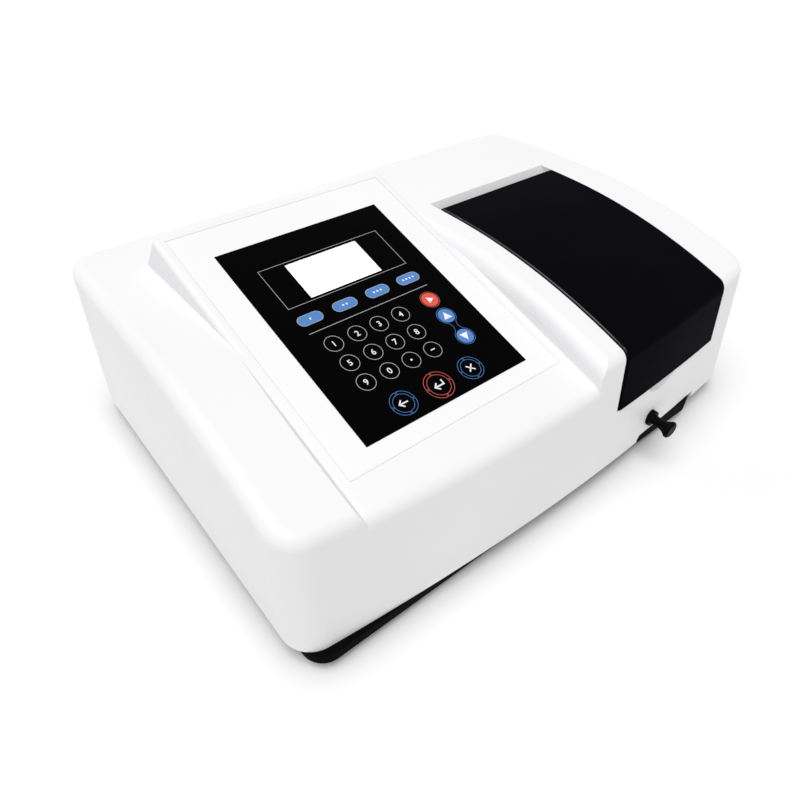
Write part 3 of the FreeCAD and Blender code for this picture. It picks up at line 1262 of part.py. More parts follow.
mono_x = ("mono_left", in_left)
mono_y = ("mono_front", "mono_back")
mono_z = (FLOOR_TOP, "mono_top")
mono_block = box("mono_block", mono_x, mono_y, mono_z)
mono_room = box("mono_room", ("mono_left + mono_wall", "%s - mono_wall" % in_left),
                ("mono_front + mono_wall", "mono_back - mono_wall"),
                ("%s + mono_wall" % FLOOR_TOP, "mono_top + 1"))
exit_hole = rod("exit_hole", "beam_radius", "mono_wall + 2", "%s - mono_wall - 1" % in_left, "beam_y",
                "beam_z", "x")
entrance_hole = rod("entrance_hole", "beam_radius", "mono_wall + 2", "slit_x",
                    "mono_back - mono_wall - 1", "beam_z", "y")
node("mono_case", cut("mono_case", mono_block, mono_room, exit_hole, entrance_hole))
node("mono_cover", box("mono_cover", mono_x, mono_y, ("mono_top", "mono_top + 3")))
MONO_DECK = "(%s + mono_wall)" % FLOOR_TOP
ARM_Z = "(beam_z - 20)"
grating_post = rod("grating_post", "9", "%s - free_gap - %s" % (ARM_Z, MONO_DECK), "grating_x", "grating_y",
                   MONO_DECK)
post_bore = rod("post_bore", "3 + running_gap", "40", "grating_x", "grating_y", MONO_DECK)
node("grating_bearing", cut("grating_bearing", grating_post, post_bore))
table_disc = rod("table_disc", "17", "5", "grating_x", "grating_y", ARM_Z)
table_shaft = rod("table_shaft", "3", "%s - %s - 1" % (ARM_Z, MONO_DECK), "grating_x", "grating_y",
                  "%s + 1" % MONO_DECK)
sine_arm = box("sine_arm", ("grating_x", "grating_x + arm_length - 1"),
               ("grating_y - 2.2", "grating_y + 2.2"), (ARM_Z, "%s + 5" % ARM_Z))
tip = rod("arm_tip", "tip_radius", "5", "grating_x + arm_length", "grating_y", ARM_Z)
node("grating_table", fuse("grating_table", table_disc, table_shaft, sine_arm, tip))
node("grating", box("grating", ("grating_x - 15", "grating_x + 15"), ("grating_y - 4", "grating_y + 4"),
                    ("%s + 5" % ARM_Z, "%s + 35" % ARM_Z)))
screw_x = "(grating_x + arm_length + screw_offset)"
screw_z = "(%s + 2.5)" % ARM_Z
motor_face = "(mono_back - mono_wall - motor_depth)"
nut_start = "(grating_y + tip_radius + 0.4)"
motor_body = box("motor_body", ("%s - motor_size / 2" % screw_x, "%s + motor_size / 2" % screw_x),
                 (motor_face, "mono_back - mono_wall"),
                 ("%s - motor_size / 2" % screw_z, "%s + motor_size / 2" % screw_z))
motor_bore = rod("motor_bore", "screw_radius + running_gap", "6", screw_x, "%s - 1" % motor_face, screw_z,
                 "y")
node("stepper_motor", cut("stepper_motor", motor_body, motor_bore))
SCREW_END = "(%s - 34)" % nut_start
node("lead_screw", rod("lead_screw", "screw_radius", "%s + 4 - %s" % (motor_face, SCREW_END), screw_x,
                       SCREW_END, screw_z, "y"))
nut_block = box("nut_block", ("%s - 6" % screw_x, "%s + 6" % screw_x),
                (nut_start, "%s + nut_length" % nut_start), ("%s - 14" % screw_z, "%s + 6" % screw_z))
nut_finger = box("nut_finger", ("grating_x + arm_length - 4", "%s - 6" % screw_x),
                 (nut_start, "%s + 3" % nut_start), ("%s - 3" % screw_z, "%s + 3" % screw_z))
nut_bore = rod("nut_bore", "screw_radius + running_gap", "30", screw_x, "%s - 5" % nut_start, screw_z, "y")
guide_z = "(%s - 10)" % screw_z
guide_hole = rod("guide_hole", "2 + running_gap", "30", screw_x, "%s - 5" % nut_start, guide_z, "y")
node("screw_nut", cut("screw_nut", fuse("nut_solid", nut_block, nut_finger), nut_bore, guide_hole))
bearing_y = ("%s - 1" % SCREW_END, "%s + 4" % SCREW_END)
bearing_block = box("bearing_block", ("%s - 6" % screw_x, "%s + 6" % screw_x), bearing_y,
                    (MONO_DECK, "%s + 5" % screw_z))
bearing_bore = rod("bearing_bore", "screw_radius + running_gap", "5", screw_x, SCREW_END, screw_z, "y")
node("screw_bearing", fuse("screw_bearing", cut("bored_bearing", bearing_block, bearing_bore),
                           rod("guide_rod", "2", "%s - %s - 4" % (motor_face, SCREW_END), screw_x,
                               "%s + 4" % SCREW_END, guide_z, "y")))
mirror_parts = []
collimator_front = "mono_front + mono_wall"
mirror_parts.append(box("collimator", ("slit_x - 14", "slit_x + 14"),
                        (collimator_front, "%s + 8" % collimator_front),
                        (MONO_DECK, "beam_z + 14")))
mirror_parts.append(box("focusing_mirror", ("mono_left + mono_wall", "mono_left + mono_wall + 8"),
                        ("beam_y - 14", "beam_y + 14"), (MONO_DECK, "beam_z + 14")))
node("mono_mirrors", group("mono_mirrors", mirror_parts))
entrance_plate = box("entrance_plate", ("slit_x - 7", "slit_x + 7"),
                     ("mono_back - mono_wall - 1", "mono_back - mono_wall"),
                     ("beam_z - 4", "beam_z + 8"))
exit_plate = box("exit_plate", ("%s - mono_wall - 1" % in_left, "%s - mono_wall" % in_left),
                 ("beam_y - 8", "beam_y + 8"), ("beam_z - 8", "beam_z + 8"))
entrance_slit = box("entrance_slit", ("slit_x - 0.5", "slit_x + 0.5"),
                    ("mono_back - mono_wall - 2", "mono_back"), ("beam_z - 3", "beam_z + 3"))
exit_slit = box("exit_slit", ("%s - mono_wall - 2" % in_left, in_left),
                ("beam_y - 0.5", "beam_y + 0.5"), ("beam_z - 3", "beam_z + 3"))
node("slit_plates", group("slit_plates", [
    cut("entrance_slit_plate", entrance_plate, entrance_slit),
    cut("exit_slit_plate", exit_plate, exit_slit)]))

# Lamp house with both lamps, the source mirror and the filter wheel

lamp_block = box("lamp_block", ("lamp_left", "lamp_right"), ("lamp_front", "lamp_back"),
                 (FLOOR_TOP, "lamp_top"))
lamp_room = box("lamp_room", ("lamp_left + sheet_wall", "lamp_right - sheet_wall"),
                ("lamp_front + sheet_wall", "lamp_back + 1"),
                ("%s + sheet_wall" % FLOOR_TOP, "lamp_top - sheet_wall"))
lamp_hole = rod("lamp_hole", "beam_radius + 1", "sheet_wall + 2", "slit_x", "lamp_front - 1", "beam_z",
                "y")
lamp_tube = cut("lamp_tube", rod("lamp_tube_out", "beam_radius + 3", "lamp_front - mono_back", "slit_x",
                                 "mono_back", "beam_z", "y"),
                rod("lamp_tube_in", "beam_radius", "lamp_front - mono_back + 2", "slit_x",
                    "mono_back - 1", "beam_z", "y"))
node("lamp_house", fuse("lamp_house", cut("lamp_shell", lamp_block, lamp_room, lamp_hole), lamp_tube))
LAMP_DECK = "(%s + sheet_wall)" % FLOOR_TOP
wheel_x = "(slit_x - wheel_throw)"
wheel_y = "(lamp_front + 10)"
wheel_disc = rod("wheel_disc", "wheel_radius", "2", wheel_x, wheel_y, "beam_z", "y")
FILTER_COUNT = 6
filter_holes = []
for number in range(FILTER_COUNT):
    angle = math.radians(number * 360.0 / FILTER_COUNT)
    filter_holes.append(rod(
        "filter_hole_%d" % number, "5", "4", "%s + wheel_throw * %.5f" % (wheel_x, math.cos(angle)),
        "%s - 1" % wheel_y, "beam_z + wheel_throw * %.5f" % math.sin(angle), "y"))
wheel_hub = rod("wheel_hub", "4", "4", wheel_x, wheel_y, "beam_z", "y")
wheel_bore = rod("wheel_bore", "1.5 + running_gap", "8", wheel_x, "%s - 1" % wheel_y, "beam_z", "y")
node("filter_wheel", cut("filter_wheel", fuse("wheel_solid", wheel_disc, wheel_hub), wheel_bore,
                         *filter_holes))
wheel_motor = rod("wheel_motor", "10", "10", wheel_x, "%s + 4.5" % wheel_y, "beam_z", "y")
wheel_shaft = rod("wheel_shaft", "1.5", "5.5", wheel_x, "%s - 0.5" % wheel_y, "beam_z", "y")
wheel_bracket = box("wheel_bracket", ("%s - 5" % wheel_x, "%s + 5" % wheel_x),
                    ("%s + 6" % wheel_y, "%s + 12" % wheel_y), (LAMP_DECK, "beam_z"))
node("filter_motor", fuse("filter_motor", wheel_motor, wheel_shaft, wheel_bracket))
mirror_motor = rod("mirror_motor", "9", "12", "slit_x", "mirror_y", LAMP_DECK)
mirror_pin = rod("mirror_pin", "2", "20", "slit_x", "mirror_y", LAMP_DECK)
node("source_motor", fuse("source_motor", mirror_motor, mirror_pin))
mirror_stem = rod("mirror_stem", "4", "17", "slit_x", "mirror_y", "%s + 12.4" % LAMP_DECK)
mirror_bore = rod("mirror_bore", "2 + running_gap", "8", "slit_x", "mirror_y", "%s + 12.3" % LAMP_DECK)
mirror_plate = doc.addObject("Part::Box", "mirror_plate")
mirror_plate.Length = 26
mirror_plate.Width = 2.5
mirror_plate.Height = 26
mirror_plate.Placement = FreeCAD.Placement(
    FreeCAD.Vector(), FreeCAD.Rotation(FreeCAD.Vector(0, 0, 1), -45))
place(mirror_plate, "slit_x - 13 * 0.7071 - 1.25 * 0.7071", "mirror_y + 13 * 0.7071 - 1.25 * 0.7071",
      "beam_z - 12")
node("source_mirror", cut("source_mirror", fuse("mirror_solid", mirror_stem, mirror_plate),
                          mirror_bore))
halogen_x = "(slit_x - 45)"
halogen_base = rod("halogen_base", "7", "beam_z - 10 - %s" % LAMP_DECK, halogen_x, "mirror_y", LAMP_DECK)
halogen_glass = rod("halogen_glass", "4.5", "18", halogen_x, "mirror_y", "beam_z - 10")
halogen_tip = ball("halogen_tip", "4.5", halogen_x, "mirror_y", "beam_z + 8")
node("tungsten_lamp", fuse("tungsten_lamp", halogen_base, halogen_glass, halogen_tip))
arc_x = "(slit_x - 28)"
arc_y = "(mirror_y + 28)"
arc_base = rod("arc_base", "14", "8", arc_x, arc_y, LAMP_DECK)
arc_bulb = rod("arc_bulb", "12", "52", arc_x, arc_y, "%s + 8" % LAMP_DECK)
node("deuterium_lamp", fuse("deuterium_lamp", arc_base, arc_bulb))

# Detector, power supply and main board

detector_block = box("detector_block", (in_right, "case_width / 2 - detector_side"), ("beam_y - 24", "beam_y + 24"),
                     (FLOOR_TOP, "beam_z + 22"))
detector_cell = rod("detector_cell", "lens_radius - 1", "14", "%s - 1" % in_right, "beam_y", "beam_z", "x")
node("detector_housing", cut("detector_housing", detector_block, detector_cell))
supply_right = "supply_left + supply_width"
supply_can = box("supply_can", ("supply_left", supply_right),
                 ("supply_front", "supply_front + supply_depth"),
                 (FLOOR_TOP, "%s + supply_height" % FLOOR_TOP))
supply_room = box("supply_room", ("supply_left + sheet_wall", supply_right + " - sheet_wall"),
                  ("supply_front + sheet_wall", "supply_front + supply_depth - sheet_wall"),
                  ("%s + sheet_wall" % FLOOR_TOP, "%s + supply_height - sheet_wall" % FLOOR_TOP))
supply_core = box("supply_core", ("supply_left + 20", "supply_left + 62"),
                  ("supply_front + 40", "supply_front + 90"),
                  ("%s + sheet_wall" % FLOOR_TOP, "%s + supply_height - 8" % FLOOR_TOP))
supply_slots = []
for number in range(6):
    start = "supply_front + %d" % (24 + 16 * number)
    supply_slots.append(box(
        "supply_slot_%d" % number, ("supply_left + 30", supply_right + " - 16"),
        (start, start + " + 4"), ("%s + supply_height - 6" % FLOOR_TOP, "supply_height + 20")))
node("power_supply", fuse(
    "power_supply", cut("supply_shell", supply_can, supply_room, *supply_slots), supply_core))
board_z = "(%s + standoff_height)" % FLOOR_TOP
board_y = ("main_board_front", "main_board_front + main_board_depth")
board_blank = box("board_blank", ("main_board_left", "main_board_left + main_board_width"),
                  board_y,
                  (board_z, "%s + board_thickness" % board_z))
CHIPS = [
    (14, 20, 22, 22, 3),
    (48, 30, 34, 12, 4),
    (48, 55, 34, 12, 4),
    (16, 70, 12, 34, 18),
    (60, 84, 26, 26, 10),
    (92, 40, 10, 60, 9)]
chips = []
for number, (x, y, wide, deep, high) in enumerate(CHIPS):
    chips.append(box("chip_%d" % number, ("main_board_left + %d" % x, "main_board_left + %d" % (x + wide)),
                     ("main_board_front + %d" % y, "main_board_front + %d" % (y + deep)),
                     ("%s + board_thickness" % board_z, "%s + board_thickness + %d" % (board_z, high))))
node("main_board", fuse("main_board", board_blank, *chips))
standoffs = []
for x in ("main_board_left + 5", "main_board_left + main_board_width - 5"):
    for y in ("main_board_front + 5", "main_board_front + main_board_depth - 5"):
        standoffs.append(rod("standoff_%d" % len(standoffs), "3", "standoff_height", x, y, FLOOR_TOP))
node("board_standoffs", group("board_standoffs", standoffs))

# Check every object, then write each piece to its own file

doc.recompute()
faults = []
for item in doc.Objects:
    if "Invalid" in item.State or "Error" in item.State:
        faults.append("%s is %s" % (item.Name, item.State))
for item in nodes:
    if item.Shape.isNull() or not item.Shape.isValid():
        faults.append(item.Label + " has no valid shape")
if faults:
    raise RuntimeError("; ".join(faults))
os.makedirs("parts", exist_ok=True)
for item in nodes:
    item.Shape.exportStep(os.path.join("parts", item.Label + ".step"))
    size = item.Shape.BoundBox
    print("%-20s %2d solids %10.0f mm3  x %.1f %.1f  y %.1f %.1f  z %.1f %.1f" % (
        item.Label, len(item.Shape.Solids), item.Shape.Volume, size.XMin, size.XMax, size.YMin,
        size.YMax, size.ZMin, size.ZMax))
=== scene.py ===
import json
import math

import bmesh
import bpy
from mathutils import Matrix, Vector


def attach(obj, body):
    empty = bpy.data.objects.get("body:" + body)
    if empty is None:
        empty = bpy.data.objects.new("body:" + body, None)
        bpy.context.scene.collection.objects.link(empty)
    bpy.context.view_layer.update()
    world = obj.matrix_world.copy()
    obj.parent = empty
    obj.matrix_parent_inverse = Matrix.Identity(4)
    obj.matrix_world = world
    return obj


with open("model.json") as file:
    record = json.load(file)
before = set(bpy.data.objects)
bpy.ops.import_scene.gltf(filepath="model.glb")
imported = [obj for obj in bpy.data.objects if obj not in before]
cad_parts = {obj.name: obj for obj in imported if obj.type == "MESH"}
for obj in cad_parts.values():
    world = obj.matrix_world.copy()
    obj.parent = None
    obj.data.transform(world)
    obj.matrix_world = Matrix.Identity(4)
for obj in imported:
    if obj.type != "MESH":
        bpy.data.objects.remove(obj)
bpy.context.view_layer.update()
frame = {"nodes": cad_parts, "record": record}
scene = bpy.context.scene

# The keypad's plane as the CAD model has it, in millimetres and radians
MM = 0.001
SLOPE = math.radians(15.0)
PLANE_Y = -144.0
PLANE_Z = 103.0
FILM_LEFT = -153.5
FILM_LOW = 46.0
FILM_WIDTH = 144.0
FILM_HEIGHT = 184.0
FILM_TOP = 0.3
PRINT_LIFT = 0.09


# Materials: every one is made of nodes, with colour, roughness and relief that vary

def new_material(name):
    mat = bpy.data.materials.new(name)
    mat.use_nodes = True
    tree = mat.node_tree
    shader = tree.nodes["Principled BSDF"]
    return mat, tree, shader


def noise(tree, scale, detail=3.0, roughness=0.5, distortion=0.0):
    node = tree.nodes.new("ShaderNodeTexNoise")
    node.inputs["Scale"].default_value = scale
    node.inputs["Detail"].default_value = detail
    node.inputs["Roughness"].default_value = roughness
    node.inputs["Distortion"].default_value = distortion
    coordinates(tree, node)
    return node


def coordinates(tree, node, stretch=None):
    found = [n for n in tree.nodes if n.bl_idname == "ShaderNodeTexCoord"]
    source = found[0] if found else tree.nodes.new("ShaderNodeTexCoord")
    if stretch is None:
        tree.links.new(source.outputs["Object"], node.inputs["Vector"])
        return
    mapping = tree.nodes.new("ShaderNodeMapping")
    mapping.inputs["Scale"].default_value = stretch
    tree.links.new(source.outputs["Object"], mapping.inputs["Vector"])
    tree.links.new(mapping.outputs["Vector"], node.inputs["Vector"])


def ramp(tree, source, stops):
    node = tree.nodes.new("ShaderNodeValToRGB")
    points = node.color_ramp.elements
    while len(points) < len(stops):
        points.new(0.5)
    for point, (place, colour) in zip(points, stops):
        point.position = place
        point.color = tuple(colour) + (1.0,)
    tree.links.new(source, node.inputs["Fac"])
    return node.outputs["Color"]


def grey(value):
    return (value, value, value)


def relief(tree, shader, height, strength, distance, after=None):
    bump = tree.nodes.new("ShaderNodeBump")
    bump.inputs["Strength"].default_value = strength
    bump.inputs["Distance"].default_value = distance
    tree.links.new(height, bump.inputs["Height"])
    if after is not None:
        tree.links.new(after.outputs["Normal"], bump.inputs["Normal"])
    tree.links.new(bump.outputs["Normal"], shader.inputs["Normal"])
    return bump


def moulded(name, dark, light, rough_low, rough_high, grain=1400.0, depth=0.00002, tone=6.0,
            mirror_level=0.5):
    """Moulded plastic: a spark-eroded grain, soft flow marks and faint changes of tone."""
    mat, tree, shader = new_material(name)
    shader.inputs["Specular IOR Level"].default_value = mirror_level
    broad = noise(tree, tone, 4.0, 0.55, 0.3)
    colour = ramp(tree, broad.outputs["Fac"], [(0.3, dark), (0.7, light)])
    tree.links.new(colour, shader.inputs["Base Color"])
    patches = noise(tree, 38.0, 5.0, 0.6)
    shine = ramp(tree, patches.outputs["Fac"], [(0.32, grey(rough_low)), (0.68, grey(rough_high))])
    tree.links.new(shine, shader.inputs["Roughness"])
    fine = noise(tree, grain, 2.0, 0.6)
    first = relief(tree, shader, fine.outputs["Fac"], 0.35, depth)
    waves = noise(tree, 14.0, 2.0, 0.5)
    relief(tree, shader, waves.outputs["Fac"], 0.05, 0.0004, first)
    return mat


def metal(name, dark, light, rough_low, rough_high, stretch=(1.0, 1.0, 1.0), grain=500.0,
          depth=0.00002):
    """Metal with brushing or turning marks along the direction that stretch leaves long."""
    mat, tree, shader = new_material(name)
    shader.inputs["Metallic"].default_value = 1.0
    lines = noise(tree, grain, 4.0, 0.65)
    coordinates(tree, lines, stretch)
    colour = ramp(tree, lines.outputs["Fac"], [(0.3, dark), (0.7, light)])
    tree.links.new(colour, shader.inputs["Base Color"])
    shine = ramp(tree, lines.outputs["Fac"], [(0.3, grey(rough_low)), (0.7, grey(rough_high))])
    tree.links.new(shine, shader.inputs["Roughness"])
    relief(tree, shader, lines.outputs["Fac"], 0.3, depth)
    return mat


def coated(name, dark, light, rough_low, rough_high, peel=260.0, metallic=0.0, mirror_level=0.5):
    """Powder coat or anodising, with an orange-peel relief."""
    mat, tree, shader = new_material(name)
    shader.inputs["Specular IOR Level"].default_value = mirror_level
    shader.inputs["Metallic"].default_value = metallic
    broad = noise(tree, 22.0, 4.0, 0.6)
    colour = ramp(tree, broad.outputs["Fac"], [(0.3, dark), (0.7, light)])
    tree.links.new(colour, shader.inputs["Base Color"])
    shine = ramp(tree, broad.outputs["Fac"], [(0.3, grey(rough_low)), (0.7, grey(rough_high))])
    tree.links.new(shine, shader.inputs["Roughness"])
    skin = noise(tree, peel, 2.0, 0.5)
    relief(tree, shader, skin.outputs["Fac"], 0.25, 0.00004)
    return mat


def clear(name, tint, ior=1.45):
    mat, tree, shader = new_material(name)
    shader.inputs["Transmission Weight"].default_value = 1.0
    shader.inputs["IOR"].default_value = ior
    smears = noise(tree, 60.0, 3.0, 0.6)
    haze = ramp(tree, smears.outputs["Fac"], [(0.4, grey(0.01)), (0.75, grey(0.06))])
    tree.links.new(haze, shader.inputs["Roughness"])
    colour = ramp(tree, smears.outputs["Fac"], [(0.2, tint), (0.8, (0.99, 0.99, 0.99))])
    tree.links.new(colour, shader.inputs["Base Color"])
    return mat


def printed(name, dark, light, rough=0.34, mirror_level=0.08):
    """Ink under a satin film: a very fine screen, with even gloss."""
    mat, tree, shader = new_material(name)
    shader.inputs["Specular IOR Level"].default_value = mirror_level
    screen = noise(tree, 2200.0, 1.0, 0.5)
    colour = ramp(tree, screen.outputs["Fac"], [(0.35, dark), (0.65, light)])
    tree.links.new(colour, shader.inputs["Base Color"])
    matt = noise(tree, 90.0, 3.0, 0.6)
    shine = ramp(tree, matt.outputs["Fac"], [(0.3, grey(rough - 0.04)), (0.7, grey(rough + 0.05))])
    tree.links.new(shine, shader.inputs["Roughness"])
    relief(tree, shader, screen.outputs["Fac"], 0.12, 0.000008)
    return mat


white = moulded("cover_white", (0.84, 0.84, 0.85), (0.87, 0.87, 0.88), 0.40, 0.50)
insert_white = moulded("insert_white", (0.865, 0.865, 0.87), (0.89, 0.89, 0.895), 0.40, 0.48)
lid_black = moulded("lid_black", (0.0022, 0.002, 0.0034), (0.0036, 0.0033, 0.0052), 0.3, 0.4,
                    1700.0, 0.00001, mirror_level=0.002)
# Glossier, slightly lighter black than the lid for the skins on its edges: a painted highlight
# along the lid's long edges
lid_edge_highlight = moulded("lid_edge_highlight", (0.004, 0.004, 0.005), (0.008, 0.008, 0.01), 0.16, 0.42, 1700.0,
                     0.000006, mirror_level=0.5)
film_black = printed("film_black", (0.0006, 0.0006, 0.0007), (0.0012, 0.0012, 0.0014), 0.36, 0.008)
print_white = printed("print_white", (0.78, 0.79, 0.8), (0.86, 0.87, 0.88))
print_grey = printed("print_grey", (0.42, 0.43, 0.44), (0.5, 0.51, 0.52))
print_blue = printed("print_blue", (0.08, 0.21, 0.52), (0.105, 0.255, 0.59))
print_blue_line = printed("print_blue_line", (0.05, 0.16, 0.40), (0.08, 0.22, 0.50))
print_red = printed("print_red", (0.7, 0.085, 0.06), (0.78, 0.115, 0.085))
print_red_line = printed("print_red_line", (0.55, 0.09, 0.07), (0.66, 0.13, 0.1))
display = moulded("display_pale", (0.86, 0.88, 0.88), (0.9, 0.92, 0.92), 0.5, 0.6)
display_shader = display.node_tree.nodes["Principled BSDF"]
display_shader.inputs["Emission Color"].default_value = (0.95, 0.97, 1.0, 1.0)
display_shader.inputs["Emission Strength"].default_value = 0.55
tray_black = moulded("tray_black", (0.0025, 0.0025, 0.0028), (0.005, 0.005, 0.0055), 0.5, 0.65,
                     900.0, 0.00004, mirror_level=0.01)
knob_black = moulded("knob_black", (0.0018, 0.0018, 0.002), (0.0034, 0.0034, 0.0038), 0.3, 0.42,
                     mirror_level=0.02)
bush_black = moulded("bush_black", (0.002, 0.002, 0.0022), (0.004, 0.004, 0.0045), 0.35, 0.45,
                     mirror_level=0.02)
socket_black = moulded("socket_black", (0.008, 0.008, 0.009), (0.014, 0.014, 0.015), 0.4, 0.55)
rubber = moulded("feet_rubber", (0.007, 0.007, 0.007), (0.014, 0.014, 0.014), 0.7, 0.85, 700.0,
                 0.00005)
foam = moulded("seal_foam", (0.008, 0.008, 0.008), (0.02, 0.02, 0.02), 0.85, 0.95, 420.0, 0.0003)
steel = metal("steel_screws", (0.52, 0.52, 0.53), (0.68, 0.68, 0.69), 0.22, 0.36)
rod_steel = metal("rod_steel", (0.58, 0.58, 0.59), (0.7, 0.7, 0.71), 0.12, 0.24, (1.0, 30.0, 1.0))
drive_metal = metal("drive_metal", (0.42, 0.42, 0.43), (0.58, 0.58, 0.59), 0.2, 0.4,
                    (1.0, 25.0, 1.0))
plated = metal("contact_metal", (0.62, 0.62, 0.62), (0.7, 0.7, 0.69), 0.24, 0.31, depth=0.000002)
mirror = metal("mirror_metal", (0.86, 0.87, 0.88), (0.9, 0.91, 0.92), 0.02, 0.06, grain=160.0)
brass = metal("pillar_brass", (0.62, 0.43, 0.16), (0.78, 0.56, 0.25), 0.2, 0.36, (1.0, 1.0, 8.0))
cast = metal("cast_case", (0.42, 0.43, 0.44), (0.56, 0.57, 0.58), 0.45, 0.62, grain=180.0,
             depth=0.0002)
zinc = metal("sheet_zinc", (0.5, 0.52, 0.52), (0.68, 0.7, 0.69), 0.3, 0.5, grain=26.0)
plate_grey = coated("plate_grey", (0.32, 0.33, 0.34), (0.37, 0.38, 0.39), 0.42, 0.55)
anodised = coated("chamber_black", (0.014, 0.014, 0.015), (0.024, 0.024, 0.026), 0.45, 0.6, 520.0,
                  0.4)
rack_black = coated("rack_black", (0.026, 0.026, 0.028), (0.04, 0.04, 0.043), 0.34, 0.48, 620.0,
                    0.5)
motor_black = coated("motor_black", (0.01, 0.01, 0.01), (0.02, 0.02, 0.02), 0.35, 0.5, 400.0)
board_green = coated("board_green", (0.008, 0.075, 0.03), (0.012, 0.105, 0.045), 0.3, 0.42, 900.0)
window = clear("window_clear", (0.97, 0.98, 0.99), 1.2)
optic = clear("optic_glass", (0.9, 0.94, 0.96))
lamp_glass = clear("lamp_glass", (0.94, 0.95, 0.96))

BY_SLOT = {
    "cover_white": white, "insert_white": insert_white, "film_black": film_black,
    "window_clear": window, "display_pale": display, "board_green": board_green,
    "steel_screws": steel, "tray_black": tray_black, "feet_rubber": rubber,
    "plate_grey": plate_grey, "socket_black": socket_black, "contact_metal": plated,
    "chamber_black": anodised, "optic_glass": optic, "lid_black": lid_black, "seal_foam": foam,
    "rack_black": rack_black, "rod_steel": rod_steel, "knob_black": knob_black,
    "bush_black": bush_black, "cast_case": cast, "mirror_metal": mirror,
    "drive_metal": drive_metal, "motor_black": motor_black, "sheet_zinc": zinc,
    "lamp_glass": lamp_glass, "pillar_brass": brass,
}
for entry in frame["record"]["subparts"]:
    node = frame["nodes"][entry["node"]]
    if not node.material_slots:
        node.data.materials.append(None)
    for place in node.material_slots:
        place.material = BY_SLOT[entry["material_slot"]]


# Printed artwork on the keypad film, in millimetres: u to the right and v up from its lower left

def film_matrix():
    """From film millimetres (u, v up, w outwards) to metres in the part's frame."""
    right = Vector((1.0, 0.0, 0.0))
    up = Vector((0.0, math.cos(SLOPE), math.sin(SLOPE)))
    out = Vector((0.0, -math.sin(SLOPE), math.cos(SLOPE)))
    origin = Vector((FILM_LEFT, PLANE_Y, PLANE_Z)) + up * FILM_LOW
    rows = [[right[i] * MM, up[i] * MM, out[i] * MM, origin[i] * MM] for i in range(3)]
    rows.append([0.0, 0.0, 0.0, 1.0])
    return Matrix(rows)


FILM = film_matrix()


def across(share):
    """Millimetres from the film's left edge, from a share of its width."""
    return share * FILM_WIDTH


def down(share):
    """Millimetres up from the film's lower edge, from a share of its height below its top."""
    return (1.0 - share) * FILM_HEIGHT


def circle(u, v, radius, start=0.0, end=360.0):
    steps = max(3, int(abs(end - start) / 6.0))
    closed = abs(end - start) >= 360.0
    count = steps if closed else steps + 1
    return [
        (u + radius * math.cos(math.radians(start + (end - start) * i / steps)),
         v + radius * math.sin(math.radians(start + (end - start) * i / steps)))
        for i in range(count)]


def stadium(u, v, width, height):
    radius = height / 2.0
    reach = width / 2.0 - radius
    return circle(u + reach, v, radius, -90.0, 90.0) + circle(u - reach, v, radius, 90.0, 270.0)


def add_face(mesh, outline, low, high):
    """A flat shape with a real, very small thickness."""
    top = [mesh.verts.new((u, v, high)) for u, v in outline]
    bottom = [mesh.verts.new((u, v, low)) for u, v in outline]
    mesh.faces.new(top)
    mesh.faces.new(list(reversed(bottom)))
    count = len(outline)
    for i in range(count):
        after = (i + 1) % count
        mesh.faces.new((top[after], top[i], bottom[i], bottom[after]))


def add_line(mesh, points, width, low, high, closed=False):
    """A line of even width along the points."""
    count = len(points)
    sides = ([], [])
    for i, (u, v) in enumerate(points):
        before = points[(i - 1) % count] if closed or i > 0 else points[i]
        after = points[(i + 1) % count] if closed or i < count - 1 else points[i]
        first = Vector((u - before[0], v - before[1]))
        second = Vector((after[0] - u, after[1] - v))
        if first.length < 1e-9:
            first = second
        if second.length < 1e-9:
            second = first
        first.normalize()
        second.normalize()
        along = (first + second).normalized()
        normal = Vector((-along.y, along.x))
        scale = width / 2.0 / max(0.35, along.dot(second))
        sides[0].append((u + normal.x * scale, v + normal.y * scale))
        sides[1].append((u - normal.x * scale, v - normal.y * scale))
    rings = [[mesh.verts.new((u, v, level)) for u, v in side]
             for level in (high, low) for side in sides]
    last = count if closed else count - 1
    for i in range(last):
        after = (i + 1) % count
        mesh.faces.new((rings[0][after], rings[0][i], rings[1][i], rings[1][after]))
        mesh.faces.new((rings[2][i], rings[2][after], rings[3][after], rings[3][i]))
        mesh.faces.new((rings[0][i], rings[0][after], rings[2][after], rings[2][i]))
        mesh.faces.new((rings[1][after], rings[1][i], rings[3][i], rings[3][after]))
    if not closed:
        for i in (0, count - 1):
            mesh.faces.new((rings[0][i], rings[2][i], rings[3][i], rings[1][i]))


def finish_piece(name, mesh, material, matrix=FILM, body="case"):
    bmesh.ops.recalc_face_normals(mesh, faces=mesh.faces)
    data = bpy.data.meshes.new(name)
    mesh.to_mesh(data)
    mesh.free()
    data.transform(matrix)
    item = bpy.data.objects.new(name, data)
    scene.collection.objects.link(item)
    data.materials.append(material)
    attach(item, body)
    return item


LOW = FILM_TOP - 0.02
HIGH = FILM_TOP + PRINT_LIFT
SYMBOL_LOW = HIGH - 0.02
SYMBOL_HIGH = HIGH + 0.06
RIM_LINE = 0.32
ROUND_LINE = 0.35
RING_LINE = 0.36
DIVIDER_LINE = 0.42

OVAL_COLUMNS = (0.1955, 0.4004, 0.6036, 0.8065)
OVAL_ROW = 0.435
OVAL_WIDTH = 19.6
OVAL_HEIGHT = 8.8
DIGIT_COLUMNS = (0.2067, 0.3437, 0.4775, 0.6135)
DIGIT_ROWS = (0.5775, 0.679, 0.779)
DIGIT_RADIUS = 6.7
DIGITS = (("1", "2", "3", "4"), ("5", "6", "7", "8"), ("9", "0"))
ROUND_RADIUS = 6.5
START = (across(0.8164), down(0.5703))
ARROW_UP = (across(0.8212), down(0.6701))
ARROW_DOWN = (across(0.821), down(0.7881))
SEGMENTED = (
    (across(0.2864), down(0.92), 9.6, 7.4),
    (across(0.5005), down(0.921), 10.9, 8.5),
    (across(0.7074), down(0.92), 9.6, 7.4))

